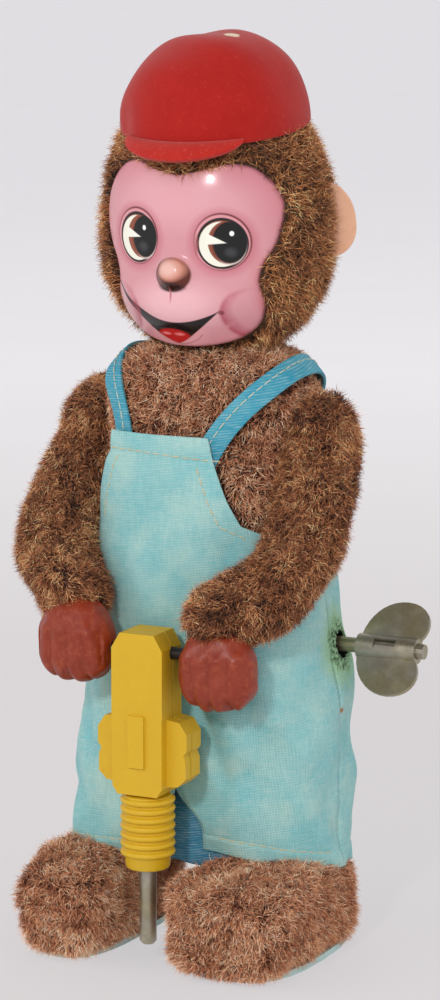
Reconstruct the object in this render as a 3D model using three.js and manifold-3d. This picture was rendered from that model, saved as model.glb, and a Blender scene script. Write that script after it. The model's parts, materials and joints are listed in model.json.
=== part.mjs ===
// Clockwork plush monkey working a road drill: tin body and head under plush, cloth overalls, a wind-up
// motor in the body, and arms that rock about a shoulder axle. Millimetres, +Z up, the toy faces -Y, and
// +X is the toy's own left. Everything is placed from the middle of the neck axis on the floor first;
// the last lines move the whole toy so that its origin is the bottom centre of its bounding box.
import * as THREE from 'three';
import { mergeVertices } from 'three/addons/utils/BufferGeometryUtils.js';
import Module from 'manifold-3d';

const wasm = await Module();
wasm.setup();

// ---- Driving dimensions -------------------------------------------------------------------------------
const GAP = 0.3; // clearance between pieces that touch
const RUNNING = 0.06; // radial clearance of a shaft in its hole
const TIN = 0.6; // sheet thickness
const CLOTH = 1.0; // overalls cloth with its folds and hems
const PLUSH = 1.6; // backing cloth of the plush with the pile pressed flat
const HEIGHT = 178.5; // top of the cap

const SHOULDER = { y: 0, z: 104, radius: 1.4 };
const ARBOR = { y: 5.3, z: 59.4, radius: 1.5 };
const DRILL = { x: -1.2, y: -27, topZ: 66, barZ: 62, tipZ: 4 };
const BAR_RADIUS = 1.2;
const HEAD = { y: 1.2, z: 142, a: 20.6, b: 18.2, c: 25 };
const CAP = { y: 0.4, rimZ: 161, a: 18.3, b: 19.2, tilt: -8 };
const FOOT = { y: -10, halfWidth: 10.6, halfLength: 21.2, postX: 17.8, postY: -6 };
// The right foot is the narrower one: share is each foot's part of the full width.
const FOOT_SIDES = { left: { x: 16.8, share: 1.1 }, right: { x: -18.6, share: 0.74 } };
const SOLE_THICKNESS = 1.2;
const PLATE_X = 9; // inner face of each motor plate
const PLATE_THICKNESS = 0.8;
const GEAR_MODULE = 0.54;
const ARBOR_RADIUS = 0.9; // shafts of the train after the key's own

// ---- Materials ----------------------------------------------------------------------------------------
const material = (color, roughness, metalness) =>
  new THREE.MeshStandardMaterial({ color, roughness, metalness });
const looks = {
  plush: material(0x8a5a44, 1.0, 0),
  capRed: material(0xc4261f, 0.7, 0),
  facePink: material(0xe2a0af, 0.25, 0.1),
  peach: material(0xe4b496, 0.8, 0),
  aqua: material(0x7fc8cc, 0.95, 0),
  strapBlue: material(0x35a3bd, 0.95, 0),
  vinyl: material(0x8e3522, 0.5, 0),
  yellow: material(0xe2b91e, 0.5, 0),
  steel: material(0x8b8577, 0.45, 0.9),
  darkSteel: material(0x55504a, 0.5, 0.9),
  tin: material(0xb9bcbf, 0.4, 0.9),
  brass: material(0xb99a4c, 0.4, 0.9),
  soleAqua: material(0xb8d8d4, 0.9, 0),
};

// ---- Shape helpers ------------------------------------------------------------------------------------
const toy = new THREE.Group();

function add(name, geometry, look) {
  const mesh = new THREE.Mesh(geometry, look);
  mesh.name = name;
  toy.add(mesh);
}

function signedVolume(points, index) {
  const corner = (k) => new THREE.Vector3().fromArray(points, 3 * index[k]);
  let volume = 0;
  for (let k = 0; k < index.length; k += 3) {
    volume += corner(k).dot(corner(k + 1).cross(corner(k + 2))) / 6;
  }
  return volume;
}

// A closed solid from points and triangles, turned so that its faces point out.
function closedGeometry(points, index) {
  if (signedVolume(points, index) < 0) index.reverse();
  const geometry = new THREE.BufferGeometry();
  geometry.setAttribute('position', new THREE.Float32BufferAttribute(points, 3));
  geometry.setIndex(index);
  return geometry;
}

// Skins a row of rings that have the same number of points, and closes both ends with a fan.
function loft(rings) {
  const count = rings[0].length;
  const points = rings.flat().flatMap((p) => [p.x, p.y, p.z]);
  const index = [];
  for (let r = 0; r + 1 < rings.length; r++) {
    for (let j = 0; j < count; j++) {
      const a = r * count + j;
      const b = r * count + ((j + 1) % count);
      index.push(a, b, b + count, a, b + count, a + count);
    }
  }
  const closeEnd = (ring, first, flip) => {
    const centre = ring.reduce((sum, p) => sum.add(p), new THREE.Vector3()).divideScalar(count);
    const middle = points.length / 3;
    points.push(centre.x, centre.y, centre.z);
    for (let j = 0; j < count; j++) {
      const a = first + j;
      const b = first + ((j + 1) % count);
      index.push(...(flip ? [middle, b, a] : [middle, a, b]));
    }
  };
  closeEnd(rings[0], 0, true);
  closeEnd(rings.at(-1), (rings.length - 1) * count, false);
  return closedGeometry(points, index);
}

// Level ring of a superellipse: power 2 is an ellipse, a higher power is squarer.
function levelRing({ x = 0, y = 0, z, a, b, power = 2.4 }, count = 32) {
  const reach = (t) => Math.sign(t) * Math.abs(t) ** (2 / power);
  return Array.from({ length: count }, (_, k) => {
    const t = (2 * Math.PI * k) / count;
    return new THREE.Vector3(x + a * reach(Math.cos(t)), y + b * reach(Math.sin(t)), z);
  });
}

// Round rings along a curve, with a radius given for each fraction of the way.
function ringsAlong(curve, radiusAt, steps, sides) {
  const frames = curve.computeFrenetFrames(steps, false);
  return Array.from({ length: steps + 1 }, (_, k) => {
    const centre = curve.getPointAt(k / steps);
    const radius = radiusAt(k / steps);
    return Array.from({ length: sides }, (__, j) => {
      const t = (2 * Math.PI * j) / sides;
      return centre
        .clone()
        .addScaledVector(frames.normals[k], radius * Math.cos(t))
        .addScaledVector(frames.binormals[k], radius * Math.sin(t));
    });
  });
}

function toSolid(geometry) {
  const plain = geometry.clone();
  plain.deleteAttribute('normal');
  plain.deleteAttribute('uv');
  const merged = mergeVertices(plain, 1e-4);
  return new wasm.Manifold(
    new wasm.Mesh({
      numProp: 3,
      vertProperties: new Float32Array(merged.attributes.position.array),
      triVerts: new Uint32Array(merged.index.array),
    }),
  );
}

function fromSolid(solid) {
  const { vertProperties, triVerts } = solid.getMesh();
  return closedGeometry(Array.from(vertProperties), Array.from(triVerts));
}

const cut = (geometry, ...tools) =>
  fromSolid(tools.reduce((rest, tool) => rest.subtract(toSolid(tool)), toSolid(geometry)));
const common = (geometry, ...tools) =>
  fromSolid(tools.reduce((rest, tool) => rest.intersect(toSolid(tool)), toSolid(geometry)));
const joined = (geometry, ...others) =>
  fromSolid(others.reduce((rest, other) => rest.add(toSolid(other)), toSolid(geometry)));

// A rod along X, Y or Z whose middle is at (x, y, z).
function rod(axis, radius, length, x, y, z, sides = 12) {
  const geometry = new THREE.CylinderGeometry(radius, radius, length, sides);
  if (axis === 'x') geometry.rotateZ(Math.PI / 2);
  if (axis === 'z') geometry.rotateX(Math.PI / 2);
  return geometry.translate(x, y, z);
}

function block(width, depth, height, x, y, z) {
  return new THREE.BoxGeometry(width, depth, height).translate(x, y, z);
}

// Extrudes an outline of [x, z] pairs (or a Shape in X and Z) from yFront back to yBack.
function slabXZ(outline, yFront, yBack) {
  const shape = outline instanceof THREE.Shape
    ? outline
    : new THREE.Shape(outline.map(([x, z]) => new THREE.Vector2(x, z)));
  const options = { depth: yBack - yFront, bevelEnabled: false, curveSegments: 10 };
  return new THREE.ExtrudeGeometry(shape, options).rotateX(Math.PI / 2).translate(0, yBack, 0);
}

// Extrudes an outline drawn in Y and Z along X, from xLow to xHigh.
function slabYZ(shape, xLow, xHigh, curveSegments = 8) {
  const options = { depth: xHigh - xLow, bevelEnabled: false, curveSegments };
  const turn = new THREE.Matrix4().set(0, 0, 1, xLow, 1, 0, 0, 0, 0, 1, 0, 0, 0, 0, 0, 1);
  return new THREE.ExtrudeGeometry(shape, options).applyMatrix4(turn);
}

function ellipsoid(a, b, c, y, z, widthSegments = 18, heightSegments = 10) {
  const ball = new THREE.SphereGeometry(1, widthSegments, heightSegments);
  return ball.rotateX(Math.PI / 2).scale(a, b, c).translate(0, y, z);
}

const BIG = 400;
const halfFront = () => block(BIG, BIG, BIG, 0, -BIG / 2 - GAP / 2, 0);
const halfBack = () => block(BIG, BIG, BIG, 0, BIG / 2 + GAP / 2, 0);

// ---- Torso: tin body, base plate and plush ------------------------------------------------------------
const BODY_LEVELS = [
  { z: 20.5, a: 22.6, b: 13.6 },
  { z: 45, a: 23, b: 14.6 },
  { z: 62, a: 20.8, b: 15 },
  { z: 78, a: 17.6, b: 15 },
  { z: 92, a: 16.2, b: 14.4 },
  { z: 101, a: 15.8, b: 13 },
  { z: 108, a: 13, b: 11 },
  { z: 112, a: 8.6, b: 8.2 },
];
const PLUSH_LEVELS = [
  { z: 64, a: 22.4, b: 17 },
  { z: 78, a: 19.4, b: 17.4 },
  { z: 92, a: 18, b: 17.2 },
  { z: 102, a: 17.6, b: 15.6 },
  { z: 108.5, a: 16.8, b: 13.6 },
  { z: 112.5, a: 13.4, b: 11.2 },
  { z: 114, a: 8.8, b: 8.4 },
];
const grown = (levels, by) => levels.map((l) => ({ ...l, a: l.a + by, b: l.b + by }));
const levelLoft = (levels, count) => loft(levels.map((l) => levelRing(l, count)));

function tinBody() {
  const inner = grown(BODY_LEVELS, -TIN);
  inner[0] = { ...inner[0], z: 20 };
  inner.at(-1).z = 112.5;
  const shaftHoles = [
    rod('x', SHOULDER.radius + RUNNING, 80, 0, SHOULDER.y, SHOULDER.z, 12),
    rod('x', ARBOR.radius + GAP, 40, 20, ARBOR.y, ARBOR.z, 12),
  ];
  const shell = cut(levelLoft(BODY_LEVELS, 24), levelLoft(inner, 24), ...shaftHoles);
  add('body_shell_front', common(shell, halfFront()), looks.tin);
  add('body_shell_rear', common(shell, halfBack()), looks.tin);

  const plate = loft([19, 20.1].map((z) => levelRing({ z, a: 22.6, b: 13.6 }, 32)));
  add('base_plate', cut(plate, rod('z', 3, 10, 0, 4, 20)), looks.darkSteel);

  const neckProfile = [[4.2, 112.9], [7.6, 112.9], [7.6, 113.7], [5, 113.7], [5, 121], [4.2, 121]];
  const profile = [...neckProfile, neckProfile[0]].map(([r, z]) => new THREE.Vector2(r, z));
  add('neck_tube', new THREE.LatheGeometry(profile, 20).rotateX(Math.PI / 2), looks.steel);
}

function torsoPlush() {
  const lining = grown(BODY_LEVELS, GAP);
  lining[0] = { ...lining[0], z: 10 };
  lining.at(-1).z = 116;
  const armholes = rod('x', 5, 80, 0, SHOULDER.y, SHOULDER.z, 12);
  const cover = cut(levelLoft(PLUSH_LEVELS, 24), levelLoft(lining, 24), armholes);
  add('torso_plush', cover, looks.plush);
}

// ---- Overalls: front with bib, rear, and two shoulder straps ------------------------------------------
const OVERALLS_LEVELS = [
  { z: 10, a: 27.6, b: 16.9, power: 3 },
  { z: 36, a: 27.8, b: 17.6, power: 3 },
  { z: 48, a: 27.2, b: 18.4, power: 2.8 },
  { z: 66, a: 24.6, b: 19.3, power: 2.5 },
  { z: 84, a: 21, b: 19.9, power: 2.4 },
  { z: 94, a: 20.2, b: 19.9, power: 2.4 },
  { z: 104, a: 20, b: 18.6, power: 2.4 },
];
const LEG_SLIT = { halfWidth: 3, topZ: 35 };
// Edges of the bib from the waist up: the toy's right edge, then its left edge on the way down.
const BIB_RIGHT = [[-18, 88.5], [-15.4, 96.3], [-13.8, 98.6], [-13.7, 102.4]];
const BIB_LEFT = [[8, 102.4], [9.4, 97], [11.6, 90.5], [13.8, 84.8]];

function overalls() {
  const cavity = grown(OVERALLS_LEVELS, -CLOTH);
  cavity[0].z = 9;
  cavity.at(-1).z = 105;
  const cloth = cut(levelLoft(OVERALLS_LEVELS, 28), levelLoft(cavity, 28));
  const { halfWidth, topZ } = LEG_SLIT;
  const front = [
    [-40, 16.5], [-24, 18.6], [-halfWidth, 18], [-halfWidth, topZ - 2], [0, topZ],
    [halfWidth, topZ - 2], [halfWidth, 20.6], [24, 20.6], [40, 16.5],
    [40, 80], [18, 81.5], ...[...BIB_LEFT].reverse(), ...[...BIB_RIGHT].reverse(), [-19.3, 83.7],
    [-22, 81], [-40, 80],
  ];
  const rear = [
    [-40, 16], [-halfWidth, 15], [-halfWidth, topZ - 2], [0, topZ],
    [halfWidth, topZ - 2], [halfWidth, 15], [40, 16], [40, 80], [14, 84], [-14, 84], [-40, 80],
  ];
  const keyHole = rod('x', 3.2, 20, 28, ARBOR.y, ARBOR.z);
  add('overalls_front', common(cloth, slabXZ(front, -40, -GAP)), looks.aqua);
  add('overalls_rear', cut(common(cloth, slabXZ(rear, GAP, 40)), keyHole), looks.aqua);
}

// A flat strap that follows a curve over the shoulder; its flat side faces away from the torso's middle.
function strapBand(curve, width, thickness, steps) {
  const heart = new THREE.Vector3(0, 0, 96);
  const rings = Array.from({ length: steps + 1 }, (_, k) => {
    const centre = curve.getPointAt(k / steps);
    const along = curve.getTangentAt(k / steps);
    const across = centre.clone().sub(heart).cross(along).normalize();
    const out = along.clone().cross(across).normalize();
    const corner = (side, face) =>
      centre
        .clone()
        .addScaledVector(across, (side * width) / 2)
        .addScaledVector(out, (face * thickness) / 2);
    return [corner(-1, -1), corner(1, -1), corner(1, 1), corner(-1, 1)];
  });
  return loft(rings);
}

function straps() {
  const routes = {
    strap_right: [[-11.9, -21, 100.6], [-15.6, -18.2, 107.2], [-18.6, -11, 112.8], [-19.4, -2, 114.3]],
    strap_left: [[8.9, -21.4, 98.4], [14.6, -19, 106], [20.2, -11, 113.2], [21.6, -2, 115.2]],
  };
  for (const [name, frontHalf] of Object.entries(routes)) {
    const side = Math.sign(frontHalf[0][0]);
    const rearHalf = [[side * 18.4, 9, 111.4], [side * 13.6, 18, 101], [side * 8.4, 20.8, 85.4]];
    const route = [...frontHalf, ...rearHalf].map((p) => new THREE.Vector3(...p));
    add(name, strapBand(new THREE.CatmullRomCurve3(route), 4.6, 0.9, 26), looks.strapBlue);
  }
}

// ---- Feet ---------------------------------------------------------------------------------------------
// Upright sections of the plush foot from toe to heel: [y, half width, bottom, top].
const FOOT_SECTIONS = [
  [-31.6, 6, 4, 13], [-30.6, 8.8, 2.2, 16], [-27, 10.4, 1.6, 17.9], [-18, 10.7, 1.5, 17.6],
  [-6, 10.6, 1.5, 14.8], [4, 10, 1.5, 13.6], [9, 8.4, 1.8, 12.8], [11.4, 5.4, 3, 10.4],
];

function footSection(centreX, share, [y, halfWidth, bottom, top]) {
  const sides = 16;
  const reach = (t) => Math.sign(t) * Math.abs(t) ** 0.55;
  return Array.from({ length: sides }, (_, k) => {
    const t = (2 * Math.PI * k) / sides;
    const z = (bottom + top) / 2 + ((top - bottom) / 2) * reach(Math.sin(t));
    return new THREE.Vector3(centreX + share * halfWidth * reach(Math.cos(t)), y, z);
  });
}

function foot(sideName, side) {
  const { x, share } = FOOT_SIDES[sideName];
  const pan = { x, y: FOOT.y, a: 7.6 * share, b: 17.4, power: 3 };
  const postX = side * FOOT.postX;
  const postRadius = 3;
  const panRings = (by, low, high) =>
    loft([low, high].map((z) => levelRing({ ...pan, a: pan.a + by, b: pan.b + by, z }, 16)));
  const floorZ = SOLE_THICKNESS + GAP;
  add(`foot_shell_${sideName}`, cut(panRings(0, floorZ, 11.6), panRings(-TIN, 0, 11)), looks.tin);
  const postHole = rod('z', postRadius + GAP + 0.1, 20, postX, FOOT.postY, 12);
  const cover = loft(FOOT_SECTIONS.map((section) => footSection(x, share, section)));
  add(`foot_plush_${sideName}`, cut(cover, panRings(GAP, -1, 11.9), postHole), looks.plush);
  add(`foot_post_${sideName}`, rod('z', postRadius, 6.6, postX, FOOT.postY, 15.3), looks.darkSteel);
  const sole = { x, y: FOOT.y, a: FOOT.halfWidth * share, b: FOOT.halfLength, power: 2.8 };
  const soleRings = [0, SOLE_THICKNESS].map((z) => levelRing({ ...sole, z }, 24));
  add(`sole_${sideName}`, loft(soleRings), looks.soleAqua);
}

// ---- Head ---------------------------------------------------------------------------------------------
// Half outline of the tin face from the brow dip down to the chin: [x, z].
const FACE_EDGE = [
  [0, 151.8], [4.5, 152.9], [8.5, 154.3], [12.5, 154], [15.8, 151.9], [18.4, 147.6], [18.4, 142.4],
  [15.3, 135], [14.6, 131.8], [15.4, 127.8], [14.1, 123.7], [10.8, 120.8], [5.5, 119.2], [0, 118.8],
];
const FACE_CENTRE = [0, 137];

function faceOutline(margin) {
  const half = FACE_EDGE.map(([x, z]) => {
    const away = new THREE.Vector2(x - FACE_CENTRE[0], z - FACE_CENTRE[1]);
    return away.setLength(away.length() + margin).add(new THREE.Vector2(...FACE_CENTRE));
  });
  const mirrored = half.slice(1, -1).reverse().map((p) => new THREE.Vector2(-p.x, p.y));
  return [...half, ...mirrored];
}

const hill = (dx, dz, wide, tall) => Math.exp(-((dx / wide) ** 2) - (dz / tall) ** 2);

// Front of the tin face: the head's curve, full at the chin, with muzzle, nose and cheeks pressed out.
function faceY(x, z) {
  const halfHeight = z < HEAD.z ? 32 : 26.4;
  const round = 1 - (x / 21.9) ** 2 - ((z - HEAD.z) / halfHeight) ** 2;
  const base = HEAD.y - 19.2 * Math.sqrt(Math.max(round, 0.02));
  const muzzle = 3.1 * hill(x, z - 125.5, 9, 6);
  const nose = 2.3 * hill(x, z - 134.2, 2.6, 2.2);
  const cheeks = 1.1 * (hill(x - 11.5, z - 127, 3.6, 4) + hill(x + 11.5, z - 127, 3.6, 4));
  return base - muzzle - nose - cheeks;
}

function faceMask() {
  const edge = faceOutline(0);
  const sheetRing = (share, behind) =>
    edge.map((p) => {
      const x = FACE_CENTRE[0] + (p.x - FACE_CENTRE[0]) * share;
      const z = FACE_CENTRE[1] + (p.y - FACE_CENTRE[1]) * share;
      return new THREE.Vector3(x, faceY(x, z) + behind, z);
    });
  const shares = [0.1, 0.26, 0.45, 0.65, 0.84, 1];
  const frontRings = shares.map((share) => sheetRing(share, 0));
  const backRings = shares.map((share) => sheetRing(share, TIN)).reverse();
  add('face_mask', loft([...frontRings, ...backRings]), looks.facePink);
}

function headShells() {
  const hollow = ellipsoid(HEAD.a - TIN, HEAD.b - TIN, HEAD.c - TIN, HEAD.y, HEAD.z);
  const neckHole = rod('z', 5.4, 30, 0, 0, 118, 20);
  const shell = cut(ellipsoid(HEAD.a, HEAD.b, HEAD.c, HEAD.y, HEAD.z), hollow, neckHole);
  add('head_shell_front', common(shell, halfFront()), looks.tin);
  add('head_shell_rear', common(shell, halfBack()), looks.tin);
}

function headPlush() {
  const lining = ellipsoid(HEAD.a + GAP, HEAD.b + GAP, HEAD.c + GAP, HEAD.y, HEAD.z);
  const outer = ellipsoid(HEAD.a + PLUSH, HEAD.b + PLUSH + 0.4, HEAD.c + 0.9, HEAD.y, HEAD.z, 22, 12);
  const window = slabXZ(new THREE.Shape(faceOutline(0.9)), -60, 0);
  const neckHole = rod('z', 8.4, 20, 0, 0, 114, 24);
  add('head_plush', cut(outer, lining, window, neckHole), looks.plush);
}

function cap() {
  const { a, b, rimZ, y, tilt } = CAP;
  const rise = HEIGHT - rimZ - 0.2;
  const wall = 1;
  const steps = 6;
  const arc = (radius, height) =>
    Array.from({ length: steps + 1 }, (_, k) => {
      const t = ((Math.PI / 2) * k) / steps;
      return new THREE.Vector2(k === steps ? 0 : radius * Math.cos(t), height * Math.sin(t));
    });
  const profile = [...arc(a - wall, rise - wall).reverse(), ...arc(a, rise)];
  const crown = new THREE.LatheGeometry(profile, 26).rotateX(Math.PI / 2);
  crown.scale(1, b / a, 1).rotateX(THREE.MathUtils.degToRad(-tilt)).translate(0, y, rimZ);
  add('cap_crown', crown, looks.capRed);

  const reachAngle = 47;
  const sections = 14;
  const inner = 19;
  const thickness = 1.4;
  const rings = Array.from({ length: sections + 1 }, (_, k) => {
    const share = (2 * k) / sections - 1;
    const angle = THREE.MathUtils.degToRad(-90 + share * reachAngle);
    const bloom = 0.12 + 0.88 * Math.cos((share * Math.PI) / 2) ** 0.7;
    const at = (radius, z) =>
      new THREE.Vector3(radius * Math.cos(angle), ((radius * b) / a) * Math.sin(angle), z);
    const low = -thickness;
    return [
      at(inner, low), at(inner + 3.6 * bloom, low - 3.4 * bloom), at(inner + 4.2 * bloom, -0.6 - 3 * bloom),
      at(inner, 0),
    ];
  });
  const visor = loft(rings).rotateX(THREE.MathUtils.degToRad(-tilt)).translate(0, y, rimZ);
  add('cap_visor', visor, looks.capRed);
}

function ears() {
  const lobe = new THREE.Shape();
  lobe.moveTo(0, -7.2);
  lobe.bezierCurveTo(3.4, -8.4, 6, -4.6, 5.6, 0.4);
  lobe.bezierCurveTo(5.2, 5.4, 3.2, 8.2, 0, 7.4);
  lobe.closePath();
  for (const [name, side] of [['ear_left', 1], ['ear_right', -1]]) {
    const ear = slabXZ(lobe, -0.7, 0.7).rotateZ(THREE.MathUtils.degToRad(8));
    if (side < 0) ear.scale(-1, 1, 1);
    ear.translate(side * 22.5, 6.6, 143.2);
    add(name, closedCopy(ear), looks.peach);
  }
}

// A copy of a closed geometry whose faces all point out, after it was mirrored or turned on a lathe.
function closedCopy(geometry) {
  const points = Array.from(geometry.attributes.position.array);
  const inOrder = () => Array.from({ length: points.length / 3 }, (_, k) => k);
  return closedGeometry(points, geometry.index ? Array.from(geometry.index.array) : inOrder());
}

// ---- Arms, hands and the handle bar -------------------------------------------------------------------
// Shoulder to wrist, drawn for the toy's left arm: [x, y, z].
const ARM_ROUTE = [
  [20.6, 0, 104.4], [24.4, -1, 101.4], [26.8, -5, 92.5], [27.2, -11.8, 82.6], [24.6, -18.6, 74.6],
  [17.8, -23.8, 68.8],
];
const ARM_WIRE = 1.6;
const HANDS = { left: { x: 13.9, z: 59.6 }, right: { x: -16.3, z: 62.6 } };

function armCurve(side) {
  const shift = side < 0 ? { x: -2.4, z: 1.4 } : { x: -2, z: -0.6 };
  const route = ARM_ROUTE.map(([x, y, z], k) => {
    const share = k / (ARM_ROUTE.length - 1);
    return new THREE.Vector3(side * x + share * shift.x, y, z + share * shift.z);
  });
  return new THREE.CatmullRomCurve3(route);
}

// Level sections of a fist, from the fingertips up: [height from its middle, half width, half depth].
const HAND_LEVELS = [
  [-8, 5, 3.2], [-7.2, 6.6, 4.4], [-3.5, 7.4, 5.2], [1, 7.6, 5.3],
  [5, 7, 4.9], [7.4, 5.4, 4], [8.4, 3.8, 3],
];

function handSolid({ x, z }) {
  const place = { x, y: DRILL.y, power: 2.6 };
  return loft(HAND_LEVELS.map(([dz, a, b]) => levelRing({ ...place, z: z + dz, a, b }, 18)));
}

function arm(sideName, side) {
  const curve = armCurve(side);
  const wire = loft(ringsAlong(curve, () => ARM_WIRE, 12, 8));
  const bore = loft(ringsAlong(stretched(curve), () => ARM_WIRE + 2 * GAP, 12, 8));
  add(`arm_core_${sideName}`, wire, looks.darkSteel);
  const swell = (t) => 5.4 + 1.3 * Math.sin(Math.PI * Math.min(1, 0.15 + 0.8 * t));
  const sleeve = loft(ringsAlong(curve, swell, 12, 12));
  const hand = HANDS[sideName];
  const cuff = { x: hand.x, y: DRILL.y, a: 7.8, b: 5.5 };
  const roomForHand = levelLoft([{ ...cuff, z: hand.z - 14 }, { ...cuff, z: hand.z + 8.7 }], 20);
  add(`arm_plush_${sideName}`, cut(sleeve, bore, roomForHand), looks.plush);
  const grip = rod('x', BAR_RADIUS + 0.1, 60, 0, DRILL.y, DRILL.barZ);
  add(`hand_${sideName}`, cut(handSolid(hand), grip, bore), looks.vinyl);
}

// The same curve carried a little past both ends, for cutting a bore right through.
function stretched(curve) {
  const over = 3;
  const points = curve.getPoints(12);
  const first = points[0].clone().addScaledVector(curve.getTangentAt(0), -over);
  const last = points.at(-1).clone().addScaledVector(curve.getTangentAt(1), over);
  return new THREE.CatmullRomCurve3([first, ...points, last]);
}

function shoulderAxle() {
  const axle = rod('x', SHOULDER.radius, 36.8, 0, SHOULDER.y, SHOULDER.z);
  add('shoulder_axle', axle, looks.steel);
  const lever = new THREE.Shape();
  const leverTipZ = 76;
  lever.absarc(SHOULDER.y, SHOULDER.z, 3, 0, Math.PI, false);
  lever.lineTo(-6.6, leverTipZ);
  lever.lineTo(-5.2, leverTipZ);
  lever.closePath();
  const hole = rod('x', SHOULDER.radius + 0.1, 20, 6, SHOULDER.y, SHOULDER.z);
  add('arm_lever', cut(slabYZ(lever, 5.6, 7), hole), looks.steel);
  add('handle_bar', rod('x', BAR_RADIUS, 25, DRILL.x, DRILL.y, DRILL.barZ), looks.darkSteel);
}

// ---- Road drill ---------------------------------------------------------------------------------------
function drillOutline() {
  const half = [
    [3.6, DRILL.topZ], [5.4, DRILL.topZ - 3], [5.4, 49.4], [8, 49], [9.5, 46.8], [9.5, 43.6], [8.8, 42.6],
    [9.3, 41.4], [9.3, 38], [7.6, 36.4], [5.4, 36.2], [4.2, 34.4],
  ];
  const shape = new THREE.Shape();
  const points = [...half, ...half.map(([x, z]) => [-x, z]).reverse()];
  points.forEach(([x, z], k) => (k ? shape.lineTo(x + DRILL.x, z) : shape.moveTo(x + DRILL.x, z)));
  return shape;
}

function drill() {
  const barHole = rod('x', BAR_RADIUS + RUNNING, 40, DRILL.x, DRILL.y, DRILL.barZ, 20);
  const slope = block(30, 10, 10, DRILL.x, 0, 0).rotateX(THREE.MathUtils.degToRad(40));
  const frontY = DRILL.y - 4.6;
  const backY = DRILL.y + 3.8;
  const room = (shape) => shape.translate(0, DRILL.y - 9.4, DRILL.topZ + 3.4);
  // The side tanks stand back from the front face of the block.
  const blockHalf = 5.3;
  const tankFront = DRILL.y - 2.4;
  const besideBlock = (side) => block(8, 8, 20, DRILL.x + side * (blockHalf + 4), tankFront - 4, 39.7);
  const slab = slabXZ(drillOutline(), frontY, DRILL.y - GAP / 2);
  const front = cut(slab, barHole, room(slope.clone()), besideBlock(-1), besideBlock(1));
  const panel = block(3.4, 1.2, 10.2, DRILL.x, frontY, 45);
  add('drill_front', joined(front, panel), looks.yellow);
  add('drill_rear', cut(slabXZ(drillOutline(), DRILL.y + GAP / 2, backY), barHole), looks.yellow);

  const ribs = 7;
  const top = 34;
  const pitch = 1.72;
  const profile = [[0, top], [3.6, top]];
  for (let k = 0; k < ribs; k++) {
    const z = top - 0.3 - k * pitch;
    profile.push([4.5, z], [5.3, z - 0.8]);
  }
  profile.push([4.2, 21.6], [4.1, 19.3], [1.9, 19.3], [1.9, 24], [0, 24]);
  const turned = new THREE.LatheGeometry(profile.map(([r, z]) => new THREE.Vector2(r, z)), 12);
  turned.rotateX(Math.PI / 2).translate(DRILL.x, DRILL.y, 0);
  add('drill_barrel', closedCopy(turned), looks.yellow);

  const bitTop = 23.6;
  const bevel = 0.5;
  const radius = 1.6;
  const bit = [
    [0, DRILL.tipZ], [radius - bevel, DRILL.tipZ], [radius, DRILL.tipZ + bevel],
    [radius, bitTop], [0, bitTop],
  ];
  const bitSolid = new THREE.LatheGeometry(bit.map(([r, z]) => new THREE.Vector2(r, z)), 16);
  bitSolid.rotateX(Math.PI / 2).translate(DRILL.x, DRILL.y, 0);
  add('drill_bit', closedCopy(bitSolid), looks.steel);
}

// ---- Clockwork motor ----------------------------------------------------------------------------------
// Axes of the train in Y and Z, each one meshing distance from the last.
const TEETH = { great: 30, second: 24, secondPinion: 9, crank: 20, crankPinion: 9, weightPinion: 8 };
const meshDistance = (teethA, teethB) => (GEAR_MODULE * (teethA + teethB)) / 2 + 0.12;

function nextAxis(from, distance, degrees) {
  const angle = THREE.MathUtils.degToRad(degrees);
  return { y: from.y + distance * Math.cos(angle), z: from.z + distance * Math.sin(angle) };
}
const SECOND = nextAxis(ARBOR, meshDistance(TEETH.great, TEETH.secondPinion), 120);
const CRANK = nextAxis(SECOND, meshDistance(TEETH.second, TEETH.crankPinion), 96);
const WEIGHT = nextAxis(CRANK, meshDistance(TEETH.crank, TEETH.weightPinion), 20);

// A spur wheel in Y and Z, with a tooth centred on the angle `mark`, or a gap there when `gap` is true.
function gearShape(axis, teeth, boreRadius, mark, gap) {
  const pitch = (GEAR_MODULE * teeth) / 2;
  const root = pitch - 1.2 * GEAR_MODULE;
  const tip = pitch + 0.85 * GEAR_MODULE;
  const step = (2 * Math.PI) / teeth;
  const start = THREE.MathUtils.degToRad(mark) + (gap ? step / 2 : 0);
  const shape = new THREE.Shape();
  const corners = [[root, -0.29], [tip, -0.11], [tip, 0.11], [root, 0.29]];
  for (let k = 0; k < teeth; k++) {
    corners.forEach(([radius, share], c) => {
      const angle = start + (k + share) * step;
      const y = axis.y + radius * Math.cos(angle);
      const z = axis.z + radius * Math.sin(angle);
      if (k === 0 && c === 0) shape.moveTo(y, z);
      else shape.lineTo(y, z);
    });
  }
  shape.closePath();
  const bore = new THREE.Path();
  bore.absarc(axis.y, axis.z, boreRadius, 0, 2 * Math.PI, true);
  shape.holes.push(bore);
  return shape;
}

function motorFrame() {
  const corners = [[-10, 48], [12, 48], [12, 84], [-10, 84]];
  const outline = new THREE.Shape(corners.map(([y, z]) => new THREE.Vector2(y, z)));
  const shafts = [[ARBOR, ARBOR.radius], ...[SECOND, CRANK, WEIGHT].map((axis) => [axis, ARBOR_RADIUS])];
  const holes = shafts.map(([axis, radius]) => rod('x', radius + RUNNING, 60, 0, axis.y, axis.z, 12));
  const plate = (low) => cut(slabYZ(outline, low, low + PLATE_THICKNESS), ...holes, ...pillarSeats());
  add('motor_plate_left', plate(PLATE_X), looks.steel);
  add('motor_plate_right', plate(-PLATE_X - PLATE_THICKNESS), looks.steel);
  PILLARS.forEach(([y, z], k) => {
    const length = 2 * (PLATE_X + PLATE_THICKNESS) + 1;
    add(`motor_pillar_${k + 1}`, rod('x', PILLAR_RADIUS, length, 0, y, z, 10), looks.steel);
  });
}
const PILLARS = [[-8, 50], [-8, 66], [10.4, 50], [10.4, 72]];
const PILLAR_RADIUS = 1.2;
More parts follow.
